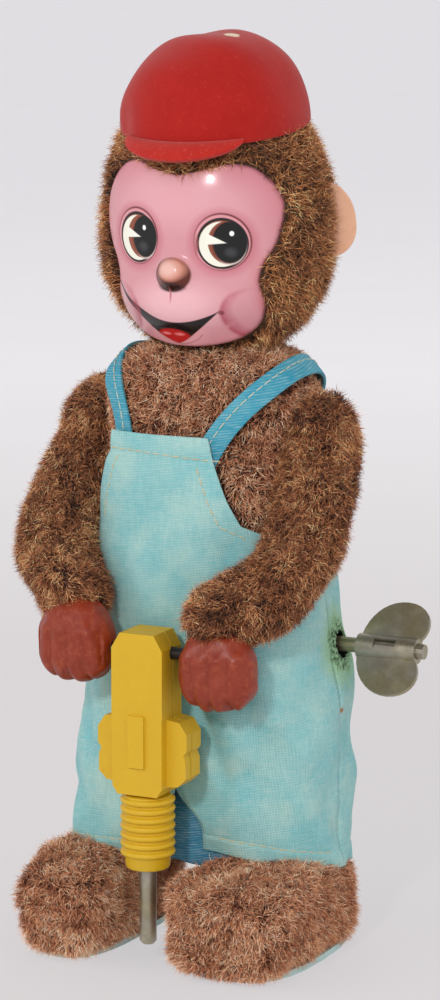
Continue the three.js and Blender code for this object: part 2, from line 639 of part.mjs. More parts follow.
const pillarSeats = () => PILLARS.map(([y, z]) => rod('x', PILLAR_RADIUS + GAP, 60, 0, y, z, 8));

// Spiral strip from the arbor out to the lower front pillar.
function mainspring() {
  const turns = 3.5;
  const steps = 48;
  const innerRadius = 2.2;
  const outerRadius = 7.6;
  const strip = 0.45;
  const right = -7.6;
  const left = -1.6;
  const rings = Array.from({ length: steps + 1 }, (_, k) => {
    const share = k / steps;
    const angle = share * turns * 2 * Math.PI;
    const radius = innerRadius + share * (outerRadius - innerRadius);
    const at = (r, x) => new THREE.Vector3(x, ARBOR.y + r * Math.cos(angle), ARBOR.z + r * Math.sin(angle));
    return [at(radius, right), at(radius + strip, right), at(radius + strip, left), at(radius, left)];
  });
  add('mainspring', loft(rings), looks.darkSteel);
}

function train() {
  const low = -10.4;
  const high = 42.6;
  add('key_arbor', rod('x', ARBOR.radius, high - low, (high + low) / 2, ARBOR.y, ARBOR.z), looks.steel);
  const great = slabYZ(gearShape(ARBOR, TEETH.great, ARBOR.radius + 0.1, 120, false), 0.2, 1.8, 12);
  add('great_wheel', great, looks.brass);
  const ratchetTeeth = 12;
  const ratchet = new THREE.Shape();
  for (let k = 0; k <= 2 * ratchetTeeth; k++) {
    const angle = (Math.PI * k) / ratchetTeeth;
    const lean = k % 2 ? 0.16 : 0;
    const radius = k % 2 ? 4.4 : 3.5;
    const y = ARBOR.y + radius * Math.cos(angle + lean);
    const z = ARBOR.z + radius * Math.sin(angle + lean);
    if (k === 0) ratchet.moveTo(y, z);
    else if (k < 2 * ratchetTeeth) ratchet.lineTo(y, z);
  }
  ratchet.closePath();
  const ratchetBore = rod('x', ARBOR.radius + 0.1, 10, 2.8, ARBOR.y, ARBOR.z);
  add('ratchet_wheel', cut(slabYZ(ratchet, 2.1, 3.3), ratchetBore), looks.steel);
  const click = new THREE.Shape();
  click.moveTo(ARBOR.y + 4.9, ARBOR.z - 1.2);
  click.lineTo(ARBOR.y + 6.6, ARBOR.z - 4.4);
  click.lineTo(ARBOR.y + 5.2, ARBOR.z - 5.2);
  click.lineTo(ARBOR.y + 4, ARBOR.z - 3.2);
  click.closePath();
  add('click_pawl', slabYZ(click, 2.1, 3.3), looks.steel);

  const secondWheel = { teeth: TEETH.second, at: 4.2, width: 1.2, mark: 96 };
  const secondPinion = { teeth: TEETH.secondPinion, at: -0.2, width: 2.4, mark: 300 };
  wheelOnPinion('second', SECOND, secondWheel, secondPinion);
  const crankWheel = { teeth: TEETH.crank, at: -5, width: 1.2, mark: 20 };
  wheelOnPinion('crank', CRANK, crankWheel, { teeth: TEETH.crankPinion, at: 3.8, width: 2, mark: 276 });
  const cam = new THREE.Shape();
  const camRadius = 2.4;
  const throwBy = 1;
  cam.absarc(CRANK.y + throwBy, CRANK.z, camRadius, 0, 2 * Math.PI, false);
  add('arm_cam', cut(slabYZ(cam, 6.6, 8.2, 12), arborBore(CRANK)), looks.brass);
  vibrator();
}

const BORE_RADIUS = ARBOR_RADIUS + 0.1;
const ARBOR_LENGTH = 2 * (PLATE_X + PLATE_THICKNESS) + 0.8;
const arborBore = ({ y, z }) => rod('x', BORE_RADIUS, 30, 0, y, z);

// An arbor with its pinion and wheel: three pieces that turn together.
function wheelOnPinion(name, axis, wheel, pinion) {
  add(`${name}_arbor`, rod('x', ARBOR_RADIUS, ARBOR_LENGTH, 0, axis.y, axis.z), looks.steel);
  const wheelShape = gearShape(axis, wheel.teeth, BORE_RADIUS, wheel.mark, false);
  add(`${name}_wheel`, slabYZ(wheelShape, wheel.at, wheel.at + wheel.width), looks.brass);
  const pinionShape = gearShape(axis, pinion.teeth, BORE_RADIUS, pinion.mark, true);
  add(`${name}_pinion`, slabYZ(pinionShape, pinion.at, pinion.at + pinion.width), looks.steel);
}

function vibrator() {
  add('weight_arbor', rod('x', ARBOR_RADIUS, ARBOR_LENGTH, 0, WEIGHT.y, WEIGHT.z), looks.steel);
  const pinion = gearShape(WEIGHT, TEETH.weightPinion, BORE_RADIUS, 200, true);
  add('weight_pinion', slabYZ(pinion, -5.4, -3.4), looks.steel);
  const sector = new THREE.Shape();
  sector.absarc(WEIGHT.y, WEIGHT.z, 4.4, -Math.PI * 0.9, -Math.PI * 0.1, false);
  sector.absarc(WEIGHT.y, WEIGHT.z, 1.9, -Math.PI * 0.1, Math.PI * 1.1, false);
  sector.closePath();
  add('vibrator_weight', cut(slabYZ(sector, -2.6, 2.4), arborBore(WEIGHT)), looks.darkSteel);
}

// Stamped butterfly key with a rolled barrel; the wings lean back from upright.
function windingKey() {
  const inner = 28.8;
  const length = 12.4;
  const leaf = new THREE.Shape();
  leaf.moveTo(0, 1);
  leaf.bezierCurveTo(0.2, 6.2, 3.4, 9.9, 8, 9.9);
  leaf.bezierCurveTo(13.4, 9.9, 15.4, 4.6, 11.4, 1);
  leaf.closePath();
  const half = 0.45;
  const upper = slabXZ(leaf, -half, half);
  const lower = upper.clone().scale(1, 1, -1);
  const barrel = rod('x', 2.5, length, length / 2, 0, 0, 18);
  const socket = rod('x', ARBOR.radius + 0.1, 2 * length, length / 2, 0, 0);
  const windowCut = block(4.6, 10, 1.9, 6, -5, 0);
  const key = cut(joined(barrel, upper, closedCopy(lower)), socket, windowCut);
  key.rotateX(THREE.MathUtils.degToRad(-36)).translate(inner, ARBOR.y, ARBOR.z);
  add('winding_key', key, looks.steel);
}

// ---- Assembly -----------------------------------------------------------------------------------------
tinBody();
torsoPlush();
overalls();
straps();
for (const [name, side] of [['left', 1], ['right', -1]]) {
  foot(name, side);
  arm(name, side);
}
headShells();
headPlush();
faceMask();
cap();
ears();
shoulderAxle();
drill();
motorFrame();
mainspring();
train();
windingKey();

toy.updateMatrixWorld(true);
const bounds = new THREE.Box3().setFromObject(toy);
const centre = bounds.getCenter(new THREE.Vector3());
toy.position.set(-centre.x, -centre.y, -bounds.min.z);

export default toy;
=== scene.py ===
"""Looks of a clockwork plush monkey that works a road drill.

Shapes are worked out in the toy's own millimetres, measured from the neck axis on the floor: +X is the
toy's left, it faces -Y, and +Z is up. place() carries them into the frame, in metres.
"""
import json
import math
import bmesh
import bpy
import numpy as np
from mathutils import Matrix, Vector


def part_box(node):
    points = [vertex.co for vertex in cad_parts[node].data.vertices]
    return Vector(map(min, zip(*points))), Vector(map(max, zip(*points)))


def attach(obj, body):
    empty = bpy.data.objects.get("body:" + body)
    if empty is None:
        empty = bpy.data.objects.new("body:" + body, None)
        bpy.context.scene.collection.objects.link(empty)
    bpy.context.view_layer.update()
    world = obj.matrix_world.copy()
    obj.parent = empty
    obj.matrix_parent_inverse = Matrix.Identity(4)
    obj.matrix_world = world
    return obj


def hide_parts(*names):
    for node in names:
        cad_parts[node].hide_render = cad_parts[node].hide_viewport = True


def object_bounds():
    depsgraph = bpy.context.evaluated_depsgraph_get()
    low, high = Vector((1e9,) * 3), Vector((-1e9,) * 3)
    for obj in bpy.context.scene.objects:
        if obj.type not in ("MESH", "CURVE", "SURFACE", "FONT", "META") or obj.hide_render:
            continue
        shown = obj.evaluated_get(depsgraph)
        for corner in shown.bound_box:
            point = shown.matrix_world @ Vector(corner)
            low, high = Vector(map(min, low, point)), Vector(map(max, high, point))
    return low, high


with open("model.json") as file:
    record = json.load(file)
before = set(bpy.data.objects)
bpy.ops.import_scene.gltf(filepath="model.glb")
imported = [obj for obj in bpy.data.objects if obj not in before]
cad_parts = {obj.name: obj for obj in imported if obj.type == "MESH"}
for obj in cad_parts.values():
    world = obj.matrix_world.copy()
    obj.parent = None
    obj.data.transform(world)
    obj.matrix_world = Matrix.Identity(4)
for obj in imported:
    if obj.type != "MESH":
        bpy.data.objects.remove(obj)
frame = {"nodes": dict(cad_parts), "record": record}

CAD_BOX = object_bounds()
MM = 0.001
NECK_LOW, NECK_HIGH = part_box("neck_tube")
AXIS = np.array([(NECK_LOW[0] + NECK_HIGH[0]) / 2, (NECK_LOW[1] + NECK_HIGH[1]) / 2, 0.0])


def place(points):
    """Toy millimetres to frame metres."""
    return np.asarray(points, dtype=float) * MM + AXIS


def node_box(node):
    """A CAD node's corners in toy millimetres."""
    low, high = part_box(node)
    return (np.array(low) - AXIS) / MM, (np.array(high) - AXIS) / MM


def srgb(red, green, blue):
    """8-bit display colour to the linear colour that a shader takes."""
    def channel(value):
        share = value / 255
        return share / 12.92 if share <= 0.04045 else ((share + 0.055) / 1.055) ** 2.4
    return (channel(red), channel(green), channel(blue), 1.0)


# ---- Camera, light and floor -------------------------------------------------------------------------
CAMERA_AZIMUTH = 26.0
CAMERA_ELEVATION = 10.14
CAMERA_DISTANCE = 767.0
CAMERA_LENS = 141.2


def direction(azimuth, elevation):
    """Unit vector from the toy towards a viewer or light; azimuth 0 is straight in front."""
    a, e = math.radians(azimuth), math.radians(elevation)
    return Vector((math.sin(a) * math.cos(e), -math.cos(a) * math.cos(e), math.sin(e)))


def look_from(obj, position, target):
    obj.location = position
    obj.rotation_euler = (Vector(target) - Vector(position)).to_track_quat("-Z", "Y").to_euler()


def make_camera():
    data = bpy.data.cameras.new("camera")
    data.lens = CAMERA_LENS
    data.clip_start = 0.01
    camera = bpy.data.objects.new("camera", data)
    bpy.context.scene.collection.objects.link(camera)
    middle = Vector(place((0, 0, 90)))
    position = middle + direction(CAMERA_AZIMUTH, CAMERA_ELEVATION) * CAMERA_DISTANCE * MM
    right = Vector((math.cos(math.radians(CAMERA_AZIMUTH)), math.sin(math.radians(CAMERA_AZIMUTH)), 0))
    aim = middle + right * 1.0 * MM - Vector((0, 0, 3.2 * MM))
    look_from(camera, position, aim)
    bpy.context.scene.camera = camera


def area_light(name, azimuth, elevation, distance, size, power, glossy=False):
    data = bpy.data.lights.new(name, "AREA")
    data.shape = "DISK"
    data.size = size
    data.energy = power
    light = bpy.data.objects.new(name, data)
    light.visible_glossy = glossy
    bpy.context.scene.collection.objects.link(light)
    middle = Vector(place((0, 0, 90)))
    look_from(light, middle + direction(azimuth, elevation) * distance, middle)


def make_stage():
    bpy.context.scene.view_settings.view_transform = "Standard"
    area_light("flash", 8, 26, 0.95, 0.09, 2.9, glossy=True)
    area_light("soft_left", -52, 40, 0.9, 0.8, 1.6)
    area_light("soft_right", 84, 34, 1.0, 0.8, 1.5)
    area_light("soft_back", 190, 50, 1.0, 0.8, 1.9)
    world = bpy.data.worlds.new("studio")
    bpy.context.scene.world = world
    world.use_nodes = True
    background = world.node_tree.nodes["Background"]
    background.inputs["Color"].default_value = srgb(238, 238, 242)
    background.inputs["Strength"].default_value = 0.24
    # A bowl of paper, as (radius, height) in metres, wide enough for every view to stay inside it.
    profile = [(0, 0), (2.4, 0), (3.1, 0.12), (3.6, 0.44), (3.9, 1.0), (4.0, 2.0), (4.0, 4.4)]
    points, faces = lathe(profile, 96)
    mesh = bpy.data.meshes.new("studio_sweep")
    mesh.from_pydata(points.tolist(), [], faces)
    mesh.polygons.foreach_set("use_smooth", np.full(len(mesh.polygons), True))
    sweep = bpy.data.objects.new("studio_sweep", mesh)
    bpy.context.scene.collection.objects.link(sweep)
    sweep.location.z = CAD_BOX[0][2] - 0.0002
    look = Look("sweep_paper", roughness=0.95)
    look.layer(look.noise(0.02, 3), srgb(164, 161, 160), srgb(170, 168, 168))
    # Painted shade: the paper is painted darker round the toy, fading out between 0.25 m and 0.75 m away.
    look.layer(look.spot((0, 0, 0), 500, 500), srgb(122, 114, 108))
    set_sockets(look, Specular_IOR_Level=0.1, Emission_Strength=0.63)
    look.shader.inputs["Emission Color"].default_value = srgb(235, 234, 238)
    mesh.materials.append(look.done())


# ---- Node-based materials ----------------------------------------------------------------------------
class Look:
    """A material painted in layers from the piece's own coordinates, in toy millimetres."""

    def __init__(self, name, roughness=0.6, metallic=0.0, base=(0.5, 0.5, 0.5, 1)):
        self.material = bpy.data.materials.new(name)
        self.material.use_nodes = True
        self.nodes = self.material.node_tree.nodes
        self.links = self.material.node_tree.links
        self.shader = self.nodes["Principled BSDF"]
        self.shader.inputs["Roughness"].default_value = roughness
        self.shader.inputs["Metallic"].default_value = metallic
        self.colour = base
        self.shader.inputs["Base Color"].default_value = base
        coordinates = self.nodes.new("ShaderNodeTexCoord")
        shift = self.nodes.new("ShaderNodeVectorMath")
        shift.operation = "SUBTRACT"
        self.links.new(coordinates.outputs["Object"], shift.inputs[0])
        shift.inputs[1].default_value = AXIS
        scale = self.nodes.new("ShaderNodeVectorMath")
        scale.operation = "SCALE"
        scale.inputs["Scale"].default_value = 1 / MM
        self.links.new(shift.outputs["Vector"], scale.inputs[0])
        self.place = scale.outputs["Vector"]
        parts = self.nodes.new("ShaderNodeSeparateXYZ")
        self.links.new(self.place, parts.inputs[0])
        self.x, self.y, self.z = parts.outputs
        self.bump_input = None

    def math(self, operation, first, second=0.0, third=0.0, clamp=False):
        node = self.nodes.new("ShaderNodeMath")
        node.operation = operation
        node.use_clamp = clamp
        for socket, value in zip(node.inputs, (first, second, third)):
            if isinstance(value, (int, float)):
                socket.default_value = value
            else:
                self.links.new(value, socket)
        return node.outputs[0]

    def noise(self, scale, detail=4.0, roughness=0.55, stretch=None):
        """Noise from 0 to 1 with features of about 1/scale millimetres."""
        node = self.nodes.new("ShaderNodeTexNoise")
        node.inputs["Scale"].default_value = scale
        node.inputs["Detail"].default_value = detail
        node.inputs["Roughness"].default_value = roughness
        source = self.place
        if stretch:
            mapping = self.nodes.new("ShaderNodeMapping")
            mapping.inputs["Scale"].default_value = stretch
            self.links.new(source, mapping.inputs["Vector"])
            source = mapping.outputs[0]
        self.links.new(source, node.inputs["Vector"])
        return node.outputs["Fac"]

    def above(self, value, level, soft):
        """1 where value is above level, 0 below, with a soft edge."""
        return self.math("MULTIPLY_ADD", value, 1 / soft, 0.5 - level / soft, clamp=True)

    def ellipse(self, centre_x, centre_z, radius_x, radius_z, turn=0.0, soft=0.15):
        """1 inside an ellipse drawn on the front of the piece."""
        c, s = math.cos(math.radians(turn)), math.sin(math.radians(turn))
        dx = self.math("SUBTRACT", self.x, centre_x)
        dz = self.math("SUBTRACT", self.z, centre_z)
        along = self.math("MULTIPLY_ADD", dx, c / radius_x, self.math("MULTIPLY", dz, s / radius_x))
        across = self.math("MULTIPLY_ADD", dx, -s / radius_z, self.math("MULTIPLY", dz, c / radius_z))
        square = self.math("MULTIPLY_ADD", along, along, self.math("MULTIPLY", across, across))
        distance = self.math("SQRT", square)
        size = min(radius_x, radius_z)
        return self.math("MULTIPLY_ADD", distance, -size / soft, size / soft + 0.5, clamp=True)

    def spot(self, centre, radius, soft):
        """1 inside a ball, so that it marks a round patch wherever the surface passes through it."""
        node = self.nodes.new("ShaderNodeVectorMath")
        node.operation = "DISTANCE"
        self.links.new(self.place, node.inputs[0])
        node.inputs[1].default_value = centre
        wobble = self.math("MULTIPLY_ADD", self.noise(1.2, 4), 1.2, -0.6)
        away = self.math("ADD", node.outputs["Value"], wobble)
        return self.math("SUBTRACT", 1.0, self.above(away, radius, soft))

    def both(self, first, second):
        return self.math("MULTIPLY", first, second)

    def without(self, first, second):
        return self.both(first, self.math("SUBTRACT", 1.0, second))

    def layer(self, mask, colour, base=None, strength=1.0):
        """Paints colour over what is there, where mask is 1."""
        mix = self.nodes.new("ShaderNodeMix")
        mix.data_type = "RGBA"
        if base is not None:
            self.colour = base
        if strength != 1.0:
            mask = self.math("MULTIPLY", mask, strength)
        self.links.new(mask, mix.inputs["Factor"])
        if isinstance(self.colour, tuple):
            mix.inputs["A"].default_value = self.colour
        else:
            self.links.new(self.colour, mix.inputs["A"])
        mix.inputs["B"].default_value = colour
        self.colour = mix.outputs["Result"]

    def bump(self, height, strength, distance_mm):
        node = self.nodes.new("ShaderNodeBump")
        node.inputs["Strength"].default_value = strength
        node.inputs["Distance"].default_value = distance_mm * MM
        self.links.new(height, node.inputs["Height"])
        if self.bump_input:
            self.links.new(self.bump_input, node.inputs["Normal"])
        self.bump_input = node.outputs["Normal"]

    def done(self):
        if not isinstance(self.colour, tuple):
            self.links.new(self.colour, self.shader.inputs["Base Color"])
        if self.bump_input:
            self.links.new(self.bump_input, self.shader.inputs["Normal"])
        return self.material


def set_sockets(look, **values):
    """Sets plain shader values, such as sheen and coat, on the shader's own sockets."""
    for name, value in values.items():
        look.shader.inputs[name.replace("_", " ")].default_value = value


# Middle of the pale chip on the cap.
CAP_CHIP = (4.6, -2.0, 177.6)


def felt_red():
    look = Look("felt_red", roughness=0.85)
    look.layer(look.noise(0.25, 4), srgb(176, 28, 18), srgb(160, 18, 12))
    look.layer(look.above(look.noise(1.2, 6, 0.7), 0.62, 0.12), srgb(196, 60, 50), strength=0.35)
    look.layer(look.spot(CAP_CHIP, 1.5, 0.4), srgb(222, 200, 172))
    look.bump(look.noise(5, 5, 0.7), 0.5, 0.12)
    set_sockets(look, Sheen_Weight=0.15, Sheen_Roughness=0.5, Specular_IOR_Level=0.25)
    return look.done()


def ear_peach():
    look = Look("felt_peach", roughness=0.8)
    look.layer(look.noise(0.4, 4), srgb(232, 186, 156), srgb(214, 158, 124))
    look.layer(look.above(look.noise(2.5, 6, 0.7), 0.64, 0.1), srgb(188, 130, 98), strength=0.5)
    look.bump(look.noise(6, 4), 0.3, 0.08)
    set_sockets(look, Subsurface_Weight=0.15, Subsurface_Scale=0.001)
    return look.done()


def steel(name, dark=False):
    """Tarnished steel with brown mottling, or plain blued steel."""
    look = Look(name, roughness=0.42, metallic=0.9)
    if dark:
        look.layer(look.noise(0.8, 5), srgb(74, 70, 68), srgb(46, 44, 44))
    else:
        look.layer(look.noise(0.5, 6, 0.65), srgb(214, 210, 196), srgb(160, 154, 138))
        look.layer(look.above(look.noise(0.16, 4, 0.6), 0.5, 0.25), srgb(176, 164, 112), strength=0.6)
        mottle = look.both(look.above(look.noise(0.2, 4), 0.42, 0.2), look.noise(2.2, 6, 0.75))
        look.layer(mottle, srgb(64, 58, 46), strength=0.5)
    look.bump(look.noise(4, 5, 0.7), 0.35, 0.05)
    return look.done()


def tinplate():
    look = Look("tinplate", roughness=0.35, metallic=0.85)
    look.layer(look.noise(0.3, 5), srgb(176, 178, 182), srgb(150, 152, 156))
    look.bump(look.noise(2, 4), 0.1, 0.05)
    return look.done()


def brass():
    look = Look("brass", roughness=0.38, metallic=0.95)
    look.layer(look.noise(0.6, 5), srgb(196, 160, 84), srgb(158, 122, 56))
    look.bump(look.noise(3, 4), 0.15, 0.04)
    return look.done()


def sole_card():
    look = Look("sole_card", roughness=0.9)
    look.layer(look.noise(0.5, 5), srgb(196, 220, 214), srgb(160, 194, 190))
    look.layer(look.above(look.noise(1.5, 6, 0.7), 0.66, 0.1), srgb(116, 112, 96), strength=0.5)
    look.bump(look.noise(6, 4), 0.3, 0.06)
    return look.done()


def thread(name, colour):
    look = Look(name, roughness=0.8)
    look.layer(look.noise(2.5, 3), colour, tuple(0.72 * c for c in colour[:3]) + (1,))
    return look.done()


def cloth(name, bright, base, faded, fade_amount):
    """Plain-weave cotton: warp and weft threads, slubs, sun-faded patches and small specks."""
    look = Look(name, roughness=0.92)
    around = look.math("MULTIPLY", look.math("ARCTAN2", look.x, look.math("MULTIPLY", look.y, -1.0)), 23.0)
    warp = thread_wave(look, look.math("MULTIPLY_ADD", look.z, 0.12, around), 0.46)
    weft = thread_wave(look, look.math("MULTIPLY_ADD", around, -0.12, look.z), 0.5)
    look.layer(look.above(look.noise(0.07, 4, 0.6), 0.5, 0.35), bright, base)
    look.layer(look.above(look.noise(0.11, 5, 0.62), 0.54, 0.2), faded, strength=fade_amount)
    slubs = look.noise(1.0, 4, 0.6, stretch=(0.35, 0.35, 2.6))
    look.layer(look.both(weft, look.above(slubs, 0.5, 0.3)), srgb(206, 222, 214), strength=0.4)
    streaks = look.noise(1.0, 4, 0.6, stretch=(2.4, 2.4, 0.3))
    look.layer(look.both(warp, look.above(streaks, 0.5, 0.3)), srgb(60, 140, 154), strength=0.3)
    look.layer(look.above(look.noise(0.9, 6, 0.7), 0.72, 0.05), srgb(140, 140, 100), strength=0.4)
    look.bump(warp, 0.4, 0.08)
    look.bump(weft, 0.4, 0.08)
    look.bump(look.noise(3, 4), 0.3, 0.08)
    set_sockets(look, Sheen_Weight=0.1, Sheen_Roughness=0.4, Specular_IOR_Level=0.2)
    return look


def thread_wave(look, along, pitch):
    """Threads side by side at a pitch, from 0 in the gaps to 1 on their crowns."""
    wave = look.math("SINE", look.math("MULTIPLY", along, 2 * math.pi / pitch))
    return look.math("MULTIPLY_ADD", wave, 0.5, 0.5)


# Small rust mark on the cloth below the key.
RUST_SPOT = (26.6, 0.5, 47.5)


def overalls_cloth():
    """Aqua cotton, stained green and dark round the key's hole."""
    look = cloth("cotton_aqua", srgb(120, 188, 192), srgb(150, 200, 197), srgb(184, 212, 198), 0.55)
    key = node_box("winding_key")[0]
    height = (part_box("key_arbor")[0][2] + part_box("key_arbor")[1][2]) / 2 / MM
    out = look.math("SUBTRACT", look.y, 4.0)
    up = look.math("SUBTRACT", look.z, height)
    away = look.math("SQRT", look.math("ADD", look.both(out, out), look.both(up, up)))
    side = look.above(look.x, key[0] - 8, 1.0)
    wobble = look.math("MULTIPLY_ADD", look.noise(0.6, 5, 0.7), 8.0, -4.0)
    spread = look.math("ADD", away, wobble)
    near = look.math("SUBTRACT", 1.0, look.above(spread, 7.0, 5.0))
    look.layer(look.both(near, side), srgb(150, 190, 130), strength=0.75)
    dirt = look.both(look.math("SUBTRACT", 1.0, look.above(spread, 4.6, 2.0)), side)
    look.layer(look.both(dirt, look.above(look.noise(1.6, 5), 0.5, 0.15)), srgb(58, 84, 52))
    look.layer(look.spot(RUST_SPOT, 0.9, 0.4), srgb(160, 96, 30))
    return look.done()


def strap_cloth():
    return cloth("cotton_blue", srgb(34, 142, 170), srgb(52, 152, 176), srgb(104, 176, 188), 0.3).done()


# The cloth between the legs is the overalls' cotton painted in deeper blues: painted shade.
def shaded_inner_leg_cloth():
    return cloth("cotton_painted_shade", srgb(40, 116, 152), srgb(52, 128, 160), srgb(84, 150, 168), 0.2).done()


def hand_vinyl():
    look = Look("vinyl_red_brown", roughness=0.42)
    look.layer(look.noise(0.3, 5), srgb(150, 54, 26), srgb(124, 38, 18))
    look.layer(look.above(look.noise(0.8, 6, 0.7), 0.56, 0.12), srgb(172, 82, 46), strength=0.45)
    look.layer(look.above(look.noise(1.3, 6, 0.7), 0.66, 0.06), srgb(84, 26, 20), strength=0.7)
    look.bump(look.noise(2.4, 5, 0.65), 0.25, 0.12)
    set_sockets(look, Subsurface_Weight=0.08, Subsurface_Scale=0.001, Specular_IOR_Level=0.45)
    return look.done()


def drill_yellow():
    look = Look("moulded_yellow", roughness=0.5)
    look.layer(look.noise(0.2, 4), srgb(216, 176, 26), srgb(206, 162, 16))
    look.layer(look.above(look.noise(1.2, 6, 0.7), 0.66, 0.08), srgb(176, 132, 20), strength=0.5)
    look.bump(look.noise(1.6, 4), 0.12, 0.1)
    set_sockets(look, Subsurface_Weight=0.05, Subsurface_Scale=0.001)
    return look.done()


# ---- Mesh helpers ------------------------------------------------------------------------------------
def make_piece(name, points, faces, materials, body, stands_for=()):
    """A mesh object from toy millimetres that rides on a body."""
    mesh = bpy.data.meshes.new(name)
    mesh.from_pydata(place(points).tolist(), [], [tuple(map(int, f)) for f in faces])
    for material in materials if isinstance(materials, (list, tuple)) else [materials]:
        mesh.materials.append(material)
    mesh.polygons.foreach_set("use_smooth", np.full(len(mesh.polygons), True))
    obj = bpy.data.objects.new(name, mesh)
    bpy.context.scene.collection.objects.link(obj)
    if stands_for:
        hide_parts(*stands_for)
    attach(obj, body)
    return obj


def grid_faces(rows, columns, wrap=False, offset=0):
    """Quads of a grid of points; wrap joins the last column to the first."""
    faces = []
    for r in range(rows - 1):
        for c in range(columns if wrap else columns - 1):
            a = r * columns + c
            b = r * columns + (c + 1) % columns
            faces.append((offset + a, offset + b, offset + b + columns, offset + a + columns))
    return faces


def solidify(obj, thickness_mm, offset=-1.0):
    """Gives a sheet its thickness: offset -1 grows it inward, 0 both ways."""
    modifier = obj.modifiers.new("thickness", "SOLIDIFY")
    modifier.thickness = thickness_mm * MM
    modifier.offset = offset
    modifier.use_even_offset = False


def bevel(obj, width_mm, segments=3, angle=35):
    """Rounds the edges that turn by more than an angle in degrees."""
    modifier = obj.modifiers.new("edges", "BEVEL")
    modifier.width = width_mm * MM
    modifier.segments = segments
    modifier.limit_method = "ANGLE"
    modifier.angle_limit = math.radians(angle)


def fan(middle, first, columns, turned=False):
    """Triangles from a middle point to the ring of points that starts at number first."""
    pairs = [(first + c, first + (c + 1) % columns) for c in range(columns)]
    return [(middle, here, after) if turned else (middle, after, here) for here, after in pairs]


def lathe(profile, sides):
    """Turns (radius, height) pairs about the Z axis; a ring on the axis is one shared point."""
    points = []
    faces = []
    rings = []
    for radius, height in profile:
        if radius < 1e-6:
            rings.append([len(points)])
            points.append((0, 0, height))
            continue
        rings.append(list(range(len(points), len(points) + sides)))
        angles = [2 * math.pi * k / sides for k in range(sides)]
        points += [(radius * math.cos(t), radius * math.sin(t), height) for t in angles]
    for low, high in zip(rings, rings[1:]):
        for k in range(sides):
            a, b = low[k % len(low)], low[(k + 1) % len(low)]
            c, d = high[(k + 1) % len(high)], high[k % len(high)]
            corners = list(dict.fromkeys((a, b, c, d)))
            if len(corners) > 2:
                faces.append(tuple(corners))
    return np.array(points), faces


def signed_power(value, power):
    """A power that keeps the sign of its value."""
    return np.sign(value) * np.abs(value) ** power


def superellipse(a, b, power, angles):
    """Points of a level superellipse; power 2 is an ellipse, higher is squarer."""
    return a * signed_power(np.cos(angles), 2 / power), b * signed_power(np.sin(angles), 2 / power)


def catmull_rom(stations, count):
    """Evenly spaced points on a smooth curve through the stations."""
    stations = np.asarray(stations, dtype=float)
    ends = np.vstack([2 * stations[0] - stations[1], stations, 2 * stations[-1] - stations[-2]])
    fine = []
    for k in range(1, len(ends) - 2):
        t = np.linspace(0, 1, 24, endpoint=False)[:, None]
        p0, p1, p2, p3 = ends[k - 1], ends[k], ends[k + 1], ends[k + 2]
        fine.append(0.5 * (2 * p1 + (p2 - p0) * t + (2 * p0 - 5 * p1 + 4 * p2 - p3) * t ** 2
                           + (3 * p1 - p0 - 3 * p2 + p3) * t ** 3))
    fine = np.vstack(fine + [stations[-1:]])
    lengths = np.concatenate([[0], np.cumsum(np.linalg.norm(np.diff(fine, axis=0), axis=1))])
    wanted = np.linspace(0, lengths[-1], count)
    return np.stack([np.interp(wanted, lengths, fine[:, axis]) for axis in range(3)], axis=1)


def unit(vectors):
    """Vectors scaled to length 1."""
    return vectors / np.maximum(np.linalg.norm(vectors, axis=-1, keepdims=True), 1e-9)


def tube_points(path, radii, sides, start=(0, 0, 1)):
    """Rings of points round a path, carried along without twist."""
    tangents = unit(np.gradient(path, axis=0))
    side = np.array(start, dtype=float)
    rings = []
    angles = 2 * np.pi * np.arange(sides) / sides
    for centre, tangent, radius in zip(path, tangents, radii):
        side = unit(side - tangent * np.dot(side, tangent))
        up = np.cross(tangent, side)
        rings.append(centre + radius * (np.cos(angles)[:, None] * side + np.sin(angles)[:, None] * up))
    return np.array(rings)


class Waves:
    """Smooth wandering vectors over space: a sum of sines with seeded directions."""

    def __init__(self, seed, wavelength, terms=10):
        rng = np.random.default_rng(seed)
        self.directions = unit(rng.normal(size=(terms, 3))) * 2 * np.pi / wavelength
        self.directions *= rng.uniform(0.6, 1.7, size=(terms, 1))
        self.phases = rng.uniform(0, 2 * np.pi, size=(terms, 3))
        self.scale = 1 / math.sqrt(terms / 2)

    def at(self, points):
        angles = points @ self.directions.T
        return np.sin(angles[:, :, None] + self.phases[None]).sum(axis=1) * self.scale


# ---- Plush pile --------------------------------------------------------------------------------------
# Hair colours from the darkest root to the palest tip; the palest tones stand partly for the fibres' own
# light tips and partly for painted glints.
BODY_TONES = [
    (84, 42, 26), (146, 84, 54), (196, 126, 86), (228, 164, 120), (248, 204, 162), (255, 238, 208),
]
# The arms' hair colours are the body's made darker: painted shade on the arms' pile.
SHADED_ARM_TONES = [
    (46, 22, 11), (84, 44, 24), (130, 76, 44), (178, 112, 70), (222, 156, 102), (252, 216, 156),
]
HEAD_TONES = [
    (50, 27, 13), (92, 54, 28), (138, 84, 47), (184, 118, 69), (228, 160, 100), (252, 218, 152),
]


def tone_materials(prefix, tones):
    materials = []
    for number, tone in enumerate(tones):
        look = Look(f"{prefix}_{number + 1}", roughness=0.5, base=srgb(*tone))
        set_sockets(look, Specular_IOR_Level=0.45, Sheen_Weight=0.1, Sheen_Roughness=0.5)
        materials.append(look.done())
    return materials


def skin_look(name, dark, light):
    look = Look(name, roughness=0.95)
    look.layer(look.noise(1.6, 5, 0.7), srgb(*light), srgb(*dark))
    look.bump(look.noise(3, 5), 0.6, 0.3)
    return look.done()


def vertex_normals(points, triangles):
    corners = points[triangles]
    across = np.cross(corners[:, 1] - corners[:, 0], corners[:, 2] - corners[:, 0])
    normals = np.zeros_like(points)
    for k in range(3):
        np.add.at(normals, triangles[:, k], across)
    return unit(normals), np.linalg.norm(across, axis=1) / 2


def to_triangles(faces):
    triangles = []
    for face in faces:
        triangles += [(face[0], face[k], face[k + 1]) for k in range(1, len(face) - 1)]
    return np.array(triangles)


